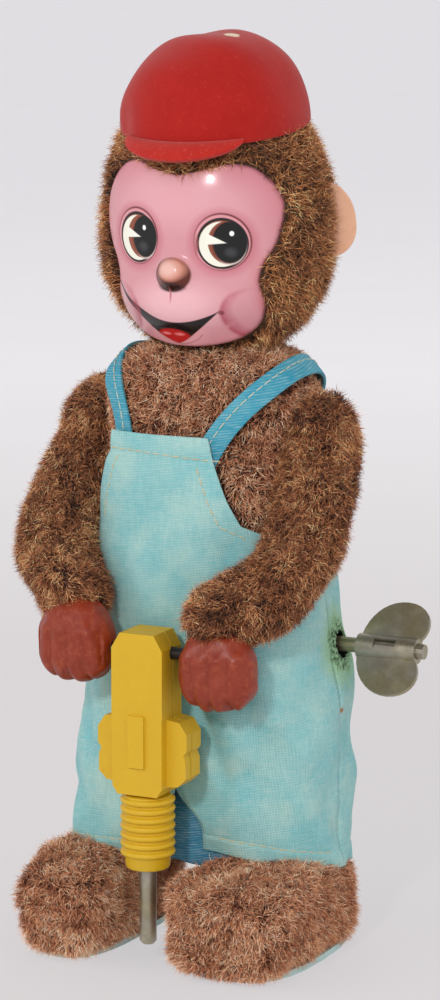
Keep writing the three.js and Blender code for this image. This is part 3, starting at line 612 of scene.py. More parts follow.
def grow_pile(name, points, faces, body, tones, seed, per_mm2, length, comb, keep, width=0.15):
    """Short ribbon hairs over a skin. comb(points) gives the way the pile lies; keep(points) trims it."""
    rng = np.random.default_rng(seed)
    triangles = to_triangles(faces)
    normals, areas = vertex_normals(points, triangles)
    density = per_mm2 * 1.0
    width = width * 1.0
    count = int(areas.sum() * density)
    chosen = rng.choice(len(triangles), size=count, p=areas / areas.sum())
    r1, r2 = np.sqrt(rng.random(count)), rng.random(count)
    weights = np.stack([1 - r1, r1 * (1 - r2), r1 * r2], axis=1)[:, :, None]
    roots = (points[triangles[chosen]] * weights).sum(axis=1)
    normal = unit((normals[triangles[chosen]] * weights).sum(axis=1))
    density_here = keep(roots)
    kept = rng.random(count) < density_here
    roots, normal, share = roots[kept], normal[kept], density_here[kept]
    count = len(roots)

    tousle = Waves(seed + 1, 9.0).at(roots) * 0.25 + Waves(seed + 2, 3.0).at(roots) * 0.3
    lean = comb(roots, normal) + tousle + rng.normal(size=(count, 3)) * 0.55
    lean -= normal * (lean * normal).sum(axis=1, keepdims=True) * 0.7
    cell_size = 1.5
    cells = np.floor(roots / cell_size)
    jitter = np.sin(cells @ np.array([[12.99, 78.2, 37.7], [39.3, 11.1, 83.2], [73.2, 52.2, 9.1]])) * 0.5
    clump = (cells + 0.5 + 0.5 * jitter) * cell_size - roots
    clump -= normal * (clump * normal).sum(axis=1, keepdims=True)
    clump_tone = 0.7 * Waves(seed + 3, 2.2).at(roots)[:, 0] + 0.4 * Waves(seed + 4, 11.0).at(roots)[:, 1]

    long = length * (0.72 + 0.5 * rng.random((count, 1))) * (0.55 + 0.45 * share[:, None])
    first = unit(0.85 * normal + 0.7 * lean)
    second = unit(0.35 * normal + 0.95 * lean + np.array([0, 0, -0.15]))
    middle = roots + first * long * 0.5 + clump * 0.1
    tip = middle + unit(second + rng.normal(size=(count, 3)) * 0.4) * long * 0.5 + clump * 0.16
    side = unit(np.cross(first, rng.normal(size=(count, 3)))) * width / 2
    start = roots - normal * 0.25
    bend = side * 0.85
    corners = np.stack([start - side, start + side, middle + bend, middle - bend, tip], axis=1)
    corners[:, :, 2] = np.maximum(corners[:, :, 2], 0.15)

    # Tips take a paler colour than roots: partly the fibres' own light tips, partly painted glints on
    # them.
    tone = 2.1 + 0.95 * clump_tone + rng.normal(size=count) * 0.7
    root_tone = np.clip(np.round(tone - 0.5), 0, 4).astype(int)
    tip_tone = np.clip(np.round(tone + 0.8 + 0.5 * rng.random(count)), 1, 5).astype(int)
    build_ribbons(name, corners.reshape(-1, 3), root_tone, tip_tone, body, tones)


def build_ribbons(name, points, root_tone, tip_tone, body, tones):
    """Each hair is a quad and a triangle that share two corners."""
    count = len(root_tone)
    mesh = bpy.data.meshes.new(name)
    mesh.vertices.add(5 * count)
    mesh.vertices.foreach_set("co", place(points).ravel())
    mesh.loops.add(7 * count)
    first = 5 * np.arange(count)[:, None]
    corners = first + np.array([0, 1, 2, 3, 3, 2, 4])
    mesh.loops.foreach_set("vertex_index", corners.ravel().astype(np.int32))
    mesh.polygons.add(2 * count)
    loop_first = 7 * np.arange(count)[:, None] + np.array([0, 4])
    mesh.polygons.foreach_set("loop_start", loop_first.ravel().astype(np.int32))
    tone_numbers = np.stack([root_tone, tip_tone], axis=1)
    mesh.polygons.foreach_set("material_index", tone_numbers.ravel().astype(np.int32))
    mesh.update(calc_edges=True)
    for material in tones:
        mesh.materials.append(material)
    obj = bpy.data.objects.new(name, mesh)
    bpy.context.scene.collection.objects.link(obj)
    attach(obj, body)
    return obj


def soft_step(value, low, high):
    """0 below low, 1 above high, smooth between."""
    t = np.clip((value - low) / (high - low), 0, 1)
    return t * t * (3 - 2 * t)


# ---- Head --------------------------------------------------------------------------------------------
HEAD_MIDDLE_Z = 142.0
HEAD_MIDDLE_Y = 1.2
HEAD_HALF_WIDTH = 21.6
HEAD_HALF_DEPTH = 20.3
HEAD_HALF_HEIGHT = 25.6


def head_skin():
    """Plush head: egg-shaped, fuller at the cheeks, and flat under the chin."""
    rows, columns = 90, 128
    polar = np.linspace(0.02, math.pi - 0.24, rows)[:, None]
    around = np.linspace(0, 2 * math.pi, columns, endpoint=False)[None, :]
    wide = np.sin(polar) ** 0.86
    cheeks = 1 + 0.035 * np.exp(-((polar - 2.1) / 0.45) ** 2)
    x = HEAD_HALF_WIDTH * wide * cheeks * np.cos(around)
    y = HEAD_MIDDLE_Y + HEAD_HALF_DEPTH * wide * cheeks * np.sin(around)
    z = HEAD_MIDDLE_Z + HEAD_HALF_HEIGHT * np.cos(polar) * np.ones_like(around)
    points = np.stack([x, y, z], axis=2).reshape(-1, 3)
    tuck_under_face(points)
    faces = grid_faces(rows, columns, wrap=True)
    top = len(points)
    points = np.vstack([points, [[0, HEAD_MIDDLE_Y, HEAD_MIDDLE_Z + HEAD_HALF_HEIGHT]]])
    faces += fan(top, 0, columns)
    return points, [f[::-1] for f in faces]


FACE_MIDDLE_Z = 137.0
# Right half of the tin face's edge, from the brow dip to the chin, as (x, z).
FACE_EDGE = np.array([
    (0, 151.8), (4.5, 152.9), (8.5, 154.3), (12.5, 154.0), (15.8, 151.9), (18.4, 147.6), (18.4, 142.4),
    (15.3, 135.0), (14.6, 131.8), (15.4, 127.8), (14.1, 123.7), (10.8, 120.8), (5.5, 119.2), (0, 118.8),
])


def face_edge_radius(angles):
    """Distance from the face's middle to its edge, for angles measured from +X towards +Z."""
    away = FACE_EDGE - np.array([0, FACE_MIDDLE_Z])
    half_angles = np.arctan2(away[:, 1], away[:, 0])
    order = np.argsort(half_angles)
    radii = np.hypot(away[:, 0], away[:, 1])[order]
    folded = np.arctan2(np.sin(angles), np.abs(np.cos(angles)))
    return np.interp(folded, half_angles[order], radii)


def hill(dx, dz, wide, tall):
    """A smooth round bump of height 1."""
    return np.exp(-(dx / wide) ** 2 - (dz / tall) ** 2)


def face_y(x, z):
    """Front of the tin face: the head's curve with muzzle, nose, cheeks and eye sockets."""
    half_height = np.where(z < HEAD_MIDDLE_Z, 32.0, 26.4)
    curve = 1 - (x / 21.9) ** 2 - ((z - HEAD_MIDDLE_Z) / half_height) ** 2
    base = HEAD_MIDDLE_Y - 19.2 * np.sqrt(np.maximum(curve, 0.02))
    muzzle = 3.1 * hill(x, z - 125.5, 9, 6)
    nose = 2.2 * np.exp(-((x / 3.3) ** 2 + ((z - 133.4) / 2.8) ** 2) ** 2)
    cheeks = 1.2 * (hill(x - 11.5, z - 127.5, 3.8, 3.6) + hill(x + 11.5, z - 127.5, 3.8, 3.6))
    sockets = 1.3 * (hill(x - 8.9, z - 139.5, 6, 6.5) + hill(x + 8.9, z - 139.5, 6, 6.5))
    eyeballs = 0.5 * (hill(x - 8.9, z - 139.5, 3.6, 3.9) + hill(x + 8.9, z - 139.5, 3.6, 3.9))
    return base - muzzle - nose - cheeks + sockets - eyeballs


def tuck_under_face(points):
    """Draws the plush in behind the tin face near its edge."""
    x, y, z = points.T
    angles = np.arctan2(z - FACE_MIDDLE_Z, x)
    beyond = np.hypot(x, z - FACE_MIDDLE_Z) - face_edge_radius(angles)
    front = y < 0
    behind_face = face_y(x, z) + 0.9
    share = soft_step(beyond, 0.3, 4.5)
    points[:, 1] = np.where(front, np.maximum(y, behind_face * (1 - share) + y * share), y)


def tin_face():
    """Pressed tin face with its edge turned in."""
    rings, columns = 70, 180
    angles = np.linspace(0, 2 * math.pi, columns, endpoint=False)
    radius = face_edge_radius(angles)
    smooth = np.ones(5) / 5
    radius = np.convolve(np.concatenate([radius[-2:], radius, radius[:2]]), smooth, mode="valid")
    shares = np.linspace(0.012, 1, rings)[:, None]
    x = shares * radius * np.cos(angles)
    z = FACE_MIDDLE_Z + shares * radius * np.sin(angles)
    turned_in = np.where(shares > 0.97, (shares - 0.97) / 0.03, 0) ** 2 * 0.8
    y = face_y(x, z) + turned_in
    points = np.stack([x, y, z], axis=2).reshape(-1, 3)
    faces = grid_faces(rings, columns, wrap=True)
    middle = len(points)
    middle_y = float(face_y(np.array(0.0), np.array(FACE_MIDDLE_Z)))
    points = np.vstack([points, [[0, middle_y, FACE_MIDDLE_Z]]])
    faces += fan(middle, 0, columns)
    faces = [f[::-1] for f in faces]
    obj = make_piece("tin_face", points, faces, face_print(), "head", ["face_mask"])
    solidify(obj, 0.5)


def paint_eye(look, x, z, pupil_shift):
    """Printed eye glancing to the toy's left: lids, white crescent and wedge, brown iris, black pupil, and
    a painted glint and painted reflection on the pupil.
    """
    e = look.ellipse
    look.layer(e(x, z, 5.9, 6.1, soft=2.0), srgb(190, 96, 112), strength=0.7)
    look.layer(e(x, z + 0.2, 5.15, 5.5, soft=0.25), srgb(112, 44, 46))
    look.layer(e(x - 0.1, z + 0.1, 4.95, 5.25, soft=0.25), srgb(220, 150, 156))
    look.layer(e(x, z - 0.1, 4.6, 4.9, soft=0.18), srgb(26, 12, 12))
    look.layer(e(x, z - 0.15, 4.1, 4.4, soft=0.2), srgb(142, 74, 50))
    eyeball = e(x - 0.1, z - 0.25, 4.05, 4.3, soft=0.15)
    white = look.without(eyeball, e(x + 1.15, z + 0.1, 3.7, 4.15, soft=0.15))
    look.layer(white, srgb(240, 238, 222))
    look.layer(e(x + pupil_shift + 0.1, z - 0.25, 2.95, 3.95, soft=0.2), srgb(222, 206, 198), strength=0.8)
    look.layer(e(x + pupil_shift - 0.2, z + 0.05, 3.05, 3.95, soft=0.3), srgb(120, 56, 38))
    look.layer(e(x + pupil_shift + 0.1, z + 0.1, 3.0, 3.95, soft=0.18), srgb(2, 2, 2))
    slope = look.math("MULTIPLY_ADD", look.x, 0.5, look.z)
    low_edge = look.math("MULTIPLY_ADD", look.x, -0.1, look.z)
    wedge = look.both(look.above(low_edge, z - 0.1 - 0.1 * x, 0.15), look.above(look.x, x - 2.9, 0.15))
    wedge = look.without(wedge, look.above(slope, z + 0.4 + 0.5 * x, 0.15))
    look.layer(wedge, srgb(244, 242, 228))
    # Painted highlights: a small white glint high on the pupil and a soft grey reflection low on it.
    look.layer(e(x + 1.75, z + 1.8, 0.4, 0.48, soft=0.15), srgb(250, 250, 250))
    look.layer(e(x + 1.5, z - 1.8, 0.95, 0.8, soft=0.9), srgb(70, 70, 74), strength=0.6)


def face_print():
    """The printed face: pink ground, eyes, nose, mouth, cheeks and fine scratches, with painted shade and
    painted highlights laid over the print.
    """
    look = Look("tin_litho", roughness=0.2)
    e = look.ellipse
    look.layer(look.noise(0.06, 3), srgb(216, 156, 162), srgb(208, 142, 148))
    look.layer(e(0, 147.5, 12, 5, soft=5), srgb(234, 176, 184), strength=0.5)
    look.layer(e(0, 127.5, 8, 4.5, soft=4), srgb(240, 190, 196), strength=0.7)
    # Painted shade: the pink darkens towards the face's edges and at both jowls.
    edge = look.math("SUBTRACT", 1.0, e(0, 136.6, 18.6, 18.0, soft=4.5))
    look.layer(edge, srgb(205, 120, 132), strength=0.55)
    for side in (-1, 1):
        jaw = e(side * 16.2, 127.5, 1.4, 6, turn=side * 8, soft=2.4)
        look.layer(jaw, srgb(206, 110, 122), strength=0.6)
    paint_eye(look, 9.0, 139.4, 1.25)
    paint_eye(look, -8.8, 139.8, 1.75)
    look.layer(e(4.4, 139.0, 0.35, 1.5, soft=0.4), srgb(150, 80, 84), strength=0.8)
    look.layer(e(-0.1, 133.2, 3.75, 3.2, soft=0.3), srgb(96, 38, 26))
    look.layer(e(0.1, 134.2, 2.75, 2.0, soft=0.9), srgb(208, 140, 120))
    # Painted highlight: a paler patch on top of the raised nose.
    look.layer(e(-0.4, 134.4, 1.9, 1.4, soft=1.2), srgb(232, 184, 172))
    # Painted shade: a dark band under the raised nose.
    look.layer(e(-0.2, 130.9, 2.6, 0.95, soft=0.5), srgb(44, 14, 12), strength=0.95)
    look.layer(e(-0.3, 129.4, 0.18, 1.2, soft=0.25), srgb(186, 110, 112))

    across = look.math("ABSOLUTE", look.math("DIVIDE", look.x, 8.7))
    upper = look.math("MULTIPLY_ADD", look.math("POWER", across, 2.0), 2.5, 124.0)
    from_lowest = look.math("ABSOLUTE", look.math("DIVIDE", look.math("ADD", look.x, 1.0), 8.6))
    lower = look.math("MULTIPLY_ADD", look.math("POWER", from_lowest, 1.35), 6.0, 119.5)
    lip_line = look.without(e(-0.3, 123.6, 5.6, 4.3, soft=0.2), e(-0.3, 123.7, 5.4, 4.08, soft=0.2))
    look.layer(look.without(lip_line, look.above(look.z, 121.6, 0.6)), srgb(128, 62, 62))
    look.layer(e(-0.2, 121.6, 5.2, 2.6, soft=1.2), srgb(236, 170, 176), strength=0.6)
    inside = look.both(look.above(look.math("SUBTRACT", look.z, lower), 0.0, 0.22),
                       look.above(look.math("SUBTRACT", upper, look.z), 0.0, 0.22))
    look.layer(inside, srgb(22, 10, 12))
    look.layer(look.both(e(-1.4, 121.1, 3.5, 1.5, soft=0.3), inside), srgb(190, 24, 30))
    for shift in (-2.8, 0.1):
        look.layer(e(shift, 121.5, 0.9, 0.28, soft=0.3), srgb(238, 130, 130))
    for side in (-1, 1):
        ball = e(side * 13.4, 125.4, 4.9, 5.2, soft=0.7)
        inner = e(side * 15.2, 126.2, 5.2, 5.4, soft=2.2)
        fade = look.above(look.noise(0.25, 3), 0.35, 0.3)
        look.layer(look.both(look.without(ball, inner), fade), srgb(170, 62, 84), strength=0.8)
        look.layer(e(side * 8.8, 126.1, 0.55, 0.45, soft=0.3), srgb(120, 40, 50), strength=0.8)
    scratches = look.above(look.noise(0.35, 8, 0.75, stretch=(2.2, 2.2, 0.5)), 0.7, 0.03)
    look.layer(scratches, srgb(150, 96, 100), strength=0.5)
    look.bump(look.noise(0.5, 3), 0.06, 0.2)
    set_sockets(look, Coat_Weight=0.25, Coat_Roughness=0.05, Specular_IOR_Level=0.3)
    return look.done()


def head_keep(points):
    """Bare of pile inside the face and under the cap."""
    x, y, z = points.T
    angles = np.arctan2(z - FACE_MIDDLE_Z, x)
    inside = np.hypot(x, z - FACE_MIDDLE_Z) < face_edge_radius(angles) - 0.1
    face = inside & (y < 0)
    rim = 161.5 + 0.14 * y
    cap = np.hypot(x, y - 0.4) < 16.6
    under_cap = (z > rim) & cap
    return np.where(face | under_cap, 0.0, 1.0)


def head_comb(points, normal):
    """Pile lies away from the face and slightly down."""
    x, y, z = points.T
    away = np.stack([x, np.zeros_like(x), z - FACE_MIDDLE_Z], axis=1)
    near_face = np.where(y < 2, 1.0, 0.0)[:, None]
    return unit(away) * 0.25 * near_face + np.array([0, 0.15, -0.32])


CAP_RIM_Z = 161.0
CAP_MIDDLE_Y = 0.4
CAP_TILT = math.radians(8)


def set_on_head(x, y, z):
    """Tips the cap forward and lifts it from its own rim to the head."""
    y_turned = y * math.cos(CAP_TILT) - z * math.sin(CAP_TILT)
    z_turned = y * math.sin(CAP_TILT) + z * math.cos(CAP_TILT)
    return np.stack([x, y_turned + CAP_MIDDLE_Y, z_turned + CAP_RIM_Z], axis=-1).reshape(-1, 3)


def cap_crown():
    """Moulded felt crown with a soft dent or two and a rolled rim."""
    low, high = node_box("cap_crown")
    a = (high[0] - low[0]) / 2
    b = a * 19.2 / 18.3
    rows, columns = 40, 96
    rise = 17.3
    t = np.linspace(math.pi / 2 - 0.01, -0.06, rows)[:, None]
    around = np.linspace(0, 2 * math.pi, columns, endpoint=False)[None, :]
    x = a * np.cos(t) ** 0.92 * np.cos(around)
    y = b * np.cos(t) ** 0.92 * np.sin(around)
    z = rise * np.sin(t) * np.ones_like(around)
    points = np.stack([x, y, z], axis=2).reshape(-1, 3)
    dents = Waves(5, 17).at(points)
    points += dents * np.array([0.25, 0.25, 0.28]) * soft_step(points[:, 2:3], -4, 8)
    crease = hill(points[:, 0] + 12.5, points[:, 2] - 2.0, 2.2, 3.5) * (points[:, 1] < 0)
    points[:, 1] += crease * 0.9
    points = set_on_head(*points.T)
    faces = grid_faces(rows, columns, wrap=True)
    top = len(points)
    points = np.vstack([points, points[:columns].mean(axis=0) + [0, 0, 0.02]])
    faces += fan(top, 0, columns)
    faces = [f[::-1] for f in faces]
    obj = make_piece("felt_crown", points, faces, felt_red(), "head", ["cap_crown"])
    solidify(obj, 0.9)
    bevel(obj, 0.3, 2, 60)


def cap_visor():
    """Short crescent peak that droops from the front of the rim."""
    columns, rows = 60, 10
    share = np.linspace(-1, 1, columns)[None, :]
    angle = np.radians(-87 + share * 40)
    bloom = np.cos(share * math.pi / 2) ** 0.6
    out = np.linspace(0, 1, rows)[:, None]
    radius = 18.2 + out * 4.0 * bloom
    drop = -0.4 - out * 2.3 * bloom + 0.7 * np.sin(out * math.pi) * bloom
    x = radius * np.cos(angle)
    y = radius * 1.05 * np.sin(angle)
    z = drop * np.ones_like(x)
    points = set_on_head(x, y, z)
    faces = grid_faces(rows, columns)
    obj = make_piece("felt_visor", points, faces, felt_red_visor(), "head", ["cap_visor"])
    solidify(obj, 1.0, offset=0)
    bevel(obj, 0.35, 3, 50)


def felt_red_visor():
    look = Look("felt_red_visor", roughness=0.85)
    look.layer(look.noise(0.3, 4), srgb(190, 42, 28), srgb(174, 26, 18))
    look.layer(look.above(look.noise(1.4, 6, 0.7), 0.6, 0.12), srgb(206, 84, 72), strength=0.4)
    look.bump(look.noise(5, 5, 0.7), 0.5, 0.1)
    set_sockets(look, Sheen_Weight=0.15, Sheen_Roughness=0.5, Specular_IOR_Level=0.25)
    return look.done()


def ears():
    """Thin cupped felt ears standing out of the pile."""
    for side, name, node in ((1, "felt_ear_left", "ear_left"), (-1, "felt_ear_right", "ear_right")):
        rows, columns = 16, 28
        low, high = node_box(node)
        middle_z = (low[2] + high[2]) / 2 - 1.0
        up = np.linspace(-1, 1, columns)[None, :]
        out = np.linspace(0, 1, rows)[:, None]
        reach = 5.9 * np.maximum(1 - np.abs(up) ** 2.6, 0) ** 0.5 * (1 - 0.14 * up)
        x = 20.2 + out * reach
        z = (middle_z + up * 7.6) * np.ones_like(out)
        y = 6.4 + 1.3 * out ** 2 * (1 - up ** 2) - 0.5 * up ** 2 + 0.14 * (x - 20.6)
        points = np.stack([side * x, y, z], axis=2).reshape(-1, 3)
        faces = grid_faces(rows, columns)
        if side < 0:
            faces = [f[::-1] for f in faces]
        obj = make_piece(name, points, faces, ear_peach(), "head", [node])
        solidify(obj, 1.0, offset=0)
        subdivide(obj, 1)


def subdivide(obj, levels):
    modifier = obj.modifiers.new("smooth", "SUBSURF")
    modifier.levels = levels
    modifier.render_levels = levels


def make_head(tones, skin):
    points, faces = head_skin()
    obj = make_piece("plush_head", points, faces, skin, "head", ["head_plush"])
    cut_face_window(obj)
    grow_pile("pile_head", points, faces, "head", tones, 11, 10.5, 3.1, head_comb, head_keep)
    tin_face()
    cap_crown()
    cap_visor()
    ears()


def cut_face_window(obj):
    """Removes the skin behind the tin face, a little inside its edge."""
    points = (np.array([v.co[:] for v in obj.data.vertices]) - AXIS) / MM
    angles = np.arctan2(points[:, 2] - FACE_MIDDLE_Z, points[:, 0])
    inside = np.hypot(points[:, 0], points[:, 2] - FACE_MIDDLE_Z) < face_edge_radius(angles) - 1.5
    hidden = inside & (points[:, 1] < 0)
    remove_vertices(obj, hidden)
    solidify(obj, 0.6)


def remove_vertices(obj, hidden):
    """Deletes the faces whose corners are all hidden, with the points that they leave loose."""
    mesh = obj.data
    work = bmesh.new()
    work.from_mesh(mesh)
    work.verts.ensure_lookup_table()
    doomed = [f for f in work.faces if all(hidden[v.index] for v in f.verts)]
    bmesh.ops.delete(work, geom=doomed, context="FACES")
    work.to_mesh(mesh)
    work.free()


# ---- Torso, arms and feet ----------------------------------------------------------------------------
# Torso outline as (height, half width, half depth).
TORSO_LEVELS = np.array([
    (62, 22.0, 16.8), (78, 19.4, 17.4), (92, 18.0, 17.0), (102, 18.4, 15.8), (108.5, 19.4, 14.6),
    (112.6, 18.4, 13.4), (115.6, 15.0, 11.4), (117.2, 9.6, 8.8),
])


def smooth_levels(levels, count):
    """Level numbers interpolated along a smooth curve: columns keep their meaning."""
    first = catmull_rom(levels[:, :3], count)
    if levels.shape[1] == 3:
        return first
    rest = np.interp(first[:, 0], levels[:, 0], levels[:, 3])
    return np.column_stack([first, rest])


def torso_skin():
    """Closed rings of the plush body from waist to neck."""
    rows, columns = 40, 64
    levels = smooth_levels(TORSO_LEVELS, rows)
    around = np.linspace(0, 2 * math.pi, columns, endpoint=False)
    rings = []
    for z, a, b in levels:
        x, y = superellipse(a, b, 2.7, around)
        rings.append(np.stack([x, y, np.full(columns, z)], axis=1))
    return np.vstack(rings), grid_faces(rows, columns, wrap=True)


def torso_keep(points):
    """Pile only where the overalls leave the plush bare."""
    x, y, z = points.T
    covered = np.where(y < 0, bib_top(x) - 0.5, 82.5)
    bare = soft_step(z - covered, -5.0, 0.6) * 0.5 + soft_step(z - covered, 0.0, 1.2) * 0.5
    return bare * (0.35 + 0.65 * soft_step(strap_distance(points), 2.4, 3.4))


def strap_distance(points):
    """How far each point is from the nearer strap's middle line."""
    lines = np.vstack([strap_path(route, 60) for route in STRAP_ROUTES.values()])
    return np.min(np.linalg.norm(points[:, None, :] - lines[None], axis=2), axis=1)


def make_torso(tones, skin):
    """Plush body with pile where the cloth leaves it bare."""
    points, faces = torso_skin()
    obj = make_piece("plush_torso", points, faces, skin, "root", ["torso_plush"])
    solidify(obj, 0.6)

    def comb(points, normal):
        return np.tile([0.0, -0.05, -0.35], (len(points), 1))
    grow_pile("pile_torso", points, faces, "root", tones, 23, 14.0, 2.5, comb, torso_keep)


# Middle line of a sleeve from the shoulder to the fist, and how far each side's end lies off it.
ARM_ROUTE = [
    (18.8, 0, 104.8), (22.6, -1, 101.6), (25.0, -5, 92.5), (25.6, -11.8, 82.6), (23.2, -18.6, 75.0),
    (16.4, -23.8, 69.8), (11.4, -26.2, 67.4),
]
ARM_END_SHIFT = {1: (-2.8, -0.8), -1: (-2.4, 1.6)}


def arm_path(side, count):
    """The sleeve's middle line on one side."""
    route = np.array(ARM_ROUTE, dtype=float)
    share = np.linspace(0, 1, len(route))
    shift_x, shift_z = ARM_END_SHIFT[side]
    route[:, 0] = side * route[:, 0] + share * shift_x
    route[:, 2] += share * shift_z
    return catmull_rom(route, count)


def make_arm(side, name, tones, skin, seed):
    """Plush sleeve from a rounded shoulder to a shaggy cuff."""
    rows, columns = 44, 40
    path = arm_path(side, rows)
    share = np.linspace(0, 1, rows)
    radii = 5.6 + 0.9 * np.sin(math.pi * np.minimum(1, 0.15 + 0.8 * share))
    radii += 0.9 * (1 - soft_step(share, 0.05, 0.25))
    radii *= np.sqrt(np.clip(share / 0.05, 0.02, 1))
    radii *= 1 - 0.6 * soft_step(share, 0.93, 1.0)
    rings = tube_points(path, radii, columns)
    points = rings.reshape(-1, 3)
    wobble = Waves(seed, 14).at(points) * 0.35
    points = points + wobble
    faces = grid_faces(rows, columns, wrap=True)
    obj = make_piece(f"plush_arm_{name}", points, faces, skin, "arms", [f"arm_plush_{name}"])
    solidify(obj, 0.6)
    along = unit(np.gradient(path, axis=0))

    def comb(points_here, normal):
        nearest = np.argmin(np.linalg.norm(points_here[:, None, :] - path[None, ::4], axis=2), axis=1)
        return along[::4][nearest] * 0.42 + np.array([0, 0, -0.12])

    def keep(points_here):
        return np.ones(len(points_here))
    grow_pile(f"pile_arm_shaded_{name}", points, faces, "arms", tones, seed, 20.0, 2.7, comb, keep)


# Foot cross-sections from toe to heel as (y, half width, bottom, top).
FOOT_SECTIONS = np.array([
    (-32.8, 6.5, 4, 12.8), (-32.2, 8.8, 2.2, 15.6), (-30.0, 10.0, 1.6, 17.4), (-25, 10.5, 1.4, 18.4),
    (-18, 10.7, 1.4, 18.8), (-10, 10.6, 1.4, 18.6), (-2, 10.4, 1.4, 18.2), (5, 9.6, 1.6, 17.0),
    (9.4, 8.0, 2.0, 15.0), (11.4, 5.2, 3.4, 11.6),
])

# Each foot's middle and its share of the full width.
FOOT_PLACES = {"left": (16.8, 1.1), "right": (-18.6, 0.74)}


def make_foot(name, tones, skin, seed):
    """Blocky plush boot around its tin pan, with the pale sole edge below."""
    middle_x, width_share = FOOT_PLACES[name]
    rows, columns = 40, 48
    ease = 0.5 - 0.5 * np.cos(np.linspace(0, math.pi, rows))
    y = FOOT_SECTIONS[0, 0] + (FOOT_SECTIONS[-1, 0] - FOOT_SECTIONS[0, 0]) * ease
    half, low, high = (np.interp(y, FOOT_SECTIONS[:, 0], FOOT_SECTIONS[:, k]) for k in (1, 2, 3))
    around = np.linspace(0, 2 * math.pi, columns, endpoint=False)
    half = half * width_share
    rings = []
    for station, a, bottom, top in zip(y, half, low, high):
        x, z = superellipse(a, (top - bottom) / 2, 4.4, around)
        rings.append(np.stack([middle_x + x, np.full(columns, station), (top + bottom) / 2 + z], axis=1))
    points = np.vstack(rings)
    faces = grid_faces(rows, columns, wrap=True)
    toe, heel = len(points), len(points) + 1
    points = np.vstack([points, rings[0].mean(axis=0) - [0, 0.3, 0], rings[-1].mean(axis=0) + [0, 0.3, 0]])
    last = (rows - 1) * columns
    faces += fan(toe, 0, columns)
    faces += fan(heel, last, columns, turned=True)
    points += Waves(seed, 15).at(points) * np.array([0.4, 0.4, 0.25])
    points[:, 2] = np.maximum(points[:, 2], 1.35)
    faces = [f[::-1] for f in faces]
    make_piece(f"plush_foot_{name}", points, faces, skin, "root", [f"foot_plush_{name}"])

    def comb(points_here, normal):
        outward = points_here - np.array([middle_x, -10, 10])
        return unit(outward) * 0.1 + np.array([0.1, -0.1, -0.6])

    def keep(points_here):
        z = points_here[:, 2]
        return np.where(z < 1.7, 0.0, 1.0)
    grow_pile(f"pile_foot_{name}", points, faces, "root", tones, seed, 18.0, 2.7, comb, keep)


# ---- Overalls ----------------------------------------------------------------------------------------
# Overalls outline as (height, half width, half depth, superellipse power).
OVERALLS_LEVELS = np.array([
    (10, 27.6, 16.9, 3.0), (36, 27.8, 17.6, 3.0), (48, 27.2, 18.4, 2.8), (66, 24.6, 19.3, 2.5),
    (84, 21.0, 19.9, 2.6), (94, 20.4, 19.6, 2.9), (104, 20.4, 18.9, 3.1),
])
BIB_TOP_Z = 102.4
# Upper edge of the front panel from the toy's right to its left, as (x, z).
BIB_EDGE = np.array([
    (-30, 83.5), (-22, 83.2), (-19.3, 84.4), (-18, 88.5), (-15.4, 96.3), (-13.8, 98.6), (-13.7, BIB_TOP_Z),
    (7.6, BIB_TOP_Z), (9.0, 97), (11.4, 90.5), (13.8, 85.4), (18.0, 83.2), (30, 83.5),
])
CROTCH_Z = 34.0  # where the two trouser legs part
REAR_TOP_Z = 83.5  # upper edge of the rear panel


def bib_top(x):
    """Upper edge of the front panel: waist at the sides, armhole edges, and the level top of the bib."""
    return np.interp(x, BIB_EDGE[:, 0], BIB_EDGE[:, 1])


def overalls_outline(z):
    """Half width, half depth and superellipse power of the cloth at a height."""
    return tuple(np.interp(z, OVERALLS_LEVELS[:, 0], OVERALLS_LEVELS[:, k]) for k in (1, 2, 3))


# Folds of the front as (x1, z1, x2, z2, width, depth): a line on the cloth that stands out or sinks in.
FRONT_FOLDS = [
    (5.5, 50, 10.5, 36, 1.9, -1.3), (8.5, 52, 15.0, 40, 2.6, 0.7), (3.0, 49, 15.0, 52.5, 1.8, -0.9),
    (4.0, 53.5, 17.0, 56.0, 2.2, 0.7), (16, 62, 20.5, 48, 2.6, 0.6), (21.5, 66, 24.0, 50, 2.2, -0.6),
    (-14, 60, -17.5, 42, 2.8, 0.6), (-20, 58, -22, 40, 2.4, -0.5), (-8.0, 48, -6.0, 36, 2.2, -0.6),
    (12, 34, 14, 22, 3.0, 0.5), (-12, 36, -13, 22, 3.0, 0.5), (-9, 78, -3, 68, 3.2, 0.35),
    (11.5, 80, 14.5, 68, 2.4, -0.5),
]
REAR_FOLDS = [
    (-6, 44, -14, 36, 2.2, -0.9), (6, 44, 15, 35, 2.2, -0.9), (-12, 74, -16, 55, 2.6, 0.6),
    (10, 76, 14, 58, 2.6, 0.5), (0, 78, 1, 52, 2.4, -0.5), (-16, 36, -17, 20, 3.0, 0.6),
    (16, 34, 15, 20, 3, 0.6), (19, 64, 22, 48, 2.4, 0.6),
]


def fold_height(x, z, folds):
    """Sum of the folds at each point, each a smooth ridge about its line."""
    total = np.zeros_like(x)
    for x1, z1, x2, z2, width, depth in folds:
        run = np.array([x2 - x1, z2 - z1])
        share = np.clip(((x - x1) * run[0] + (z - z1) * run[1]) / (run @ run), 0, 1)
        distance = np.hypot(x - x1 - share * run[0], z - z1 - share * run[1])
        total += depth * np.exp(-(distance / width) ** 2)
    return total


def leg_edge(side, z, front):
    """How far from the middle the inner edge of a leg lies."""
    open_share = soft_step(CROTCH_Z - z, 0, 9)
    if front:
        return (0.4 + 5.2 * open_share) if side > 0 else (0.4 - 2.6 * open_share)
    return 0.4 + 0.5 * open_share


def beside_leg(side, share, z, front):
    """x and y on the overalls, for a share of the way from the edge between the legs to the side seam."""
    a, b, power = overalls_outline(z)
    start = np.arccos(signed_power(np.clip(side * leg_edge(side, z, front) / a, -1, 1), power / 2))
    swing = start * (1 - share)
    x = side * a * signed_power(np.cos(swing), 2 / power)
    y = (-1 if front else 1) * b * signed_power(np.sin(swing), 2 / power)
    return x, y


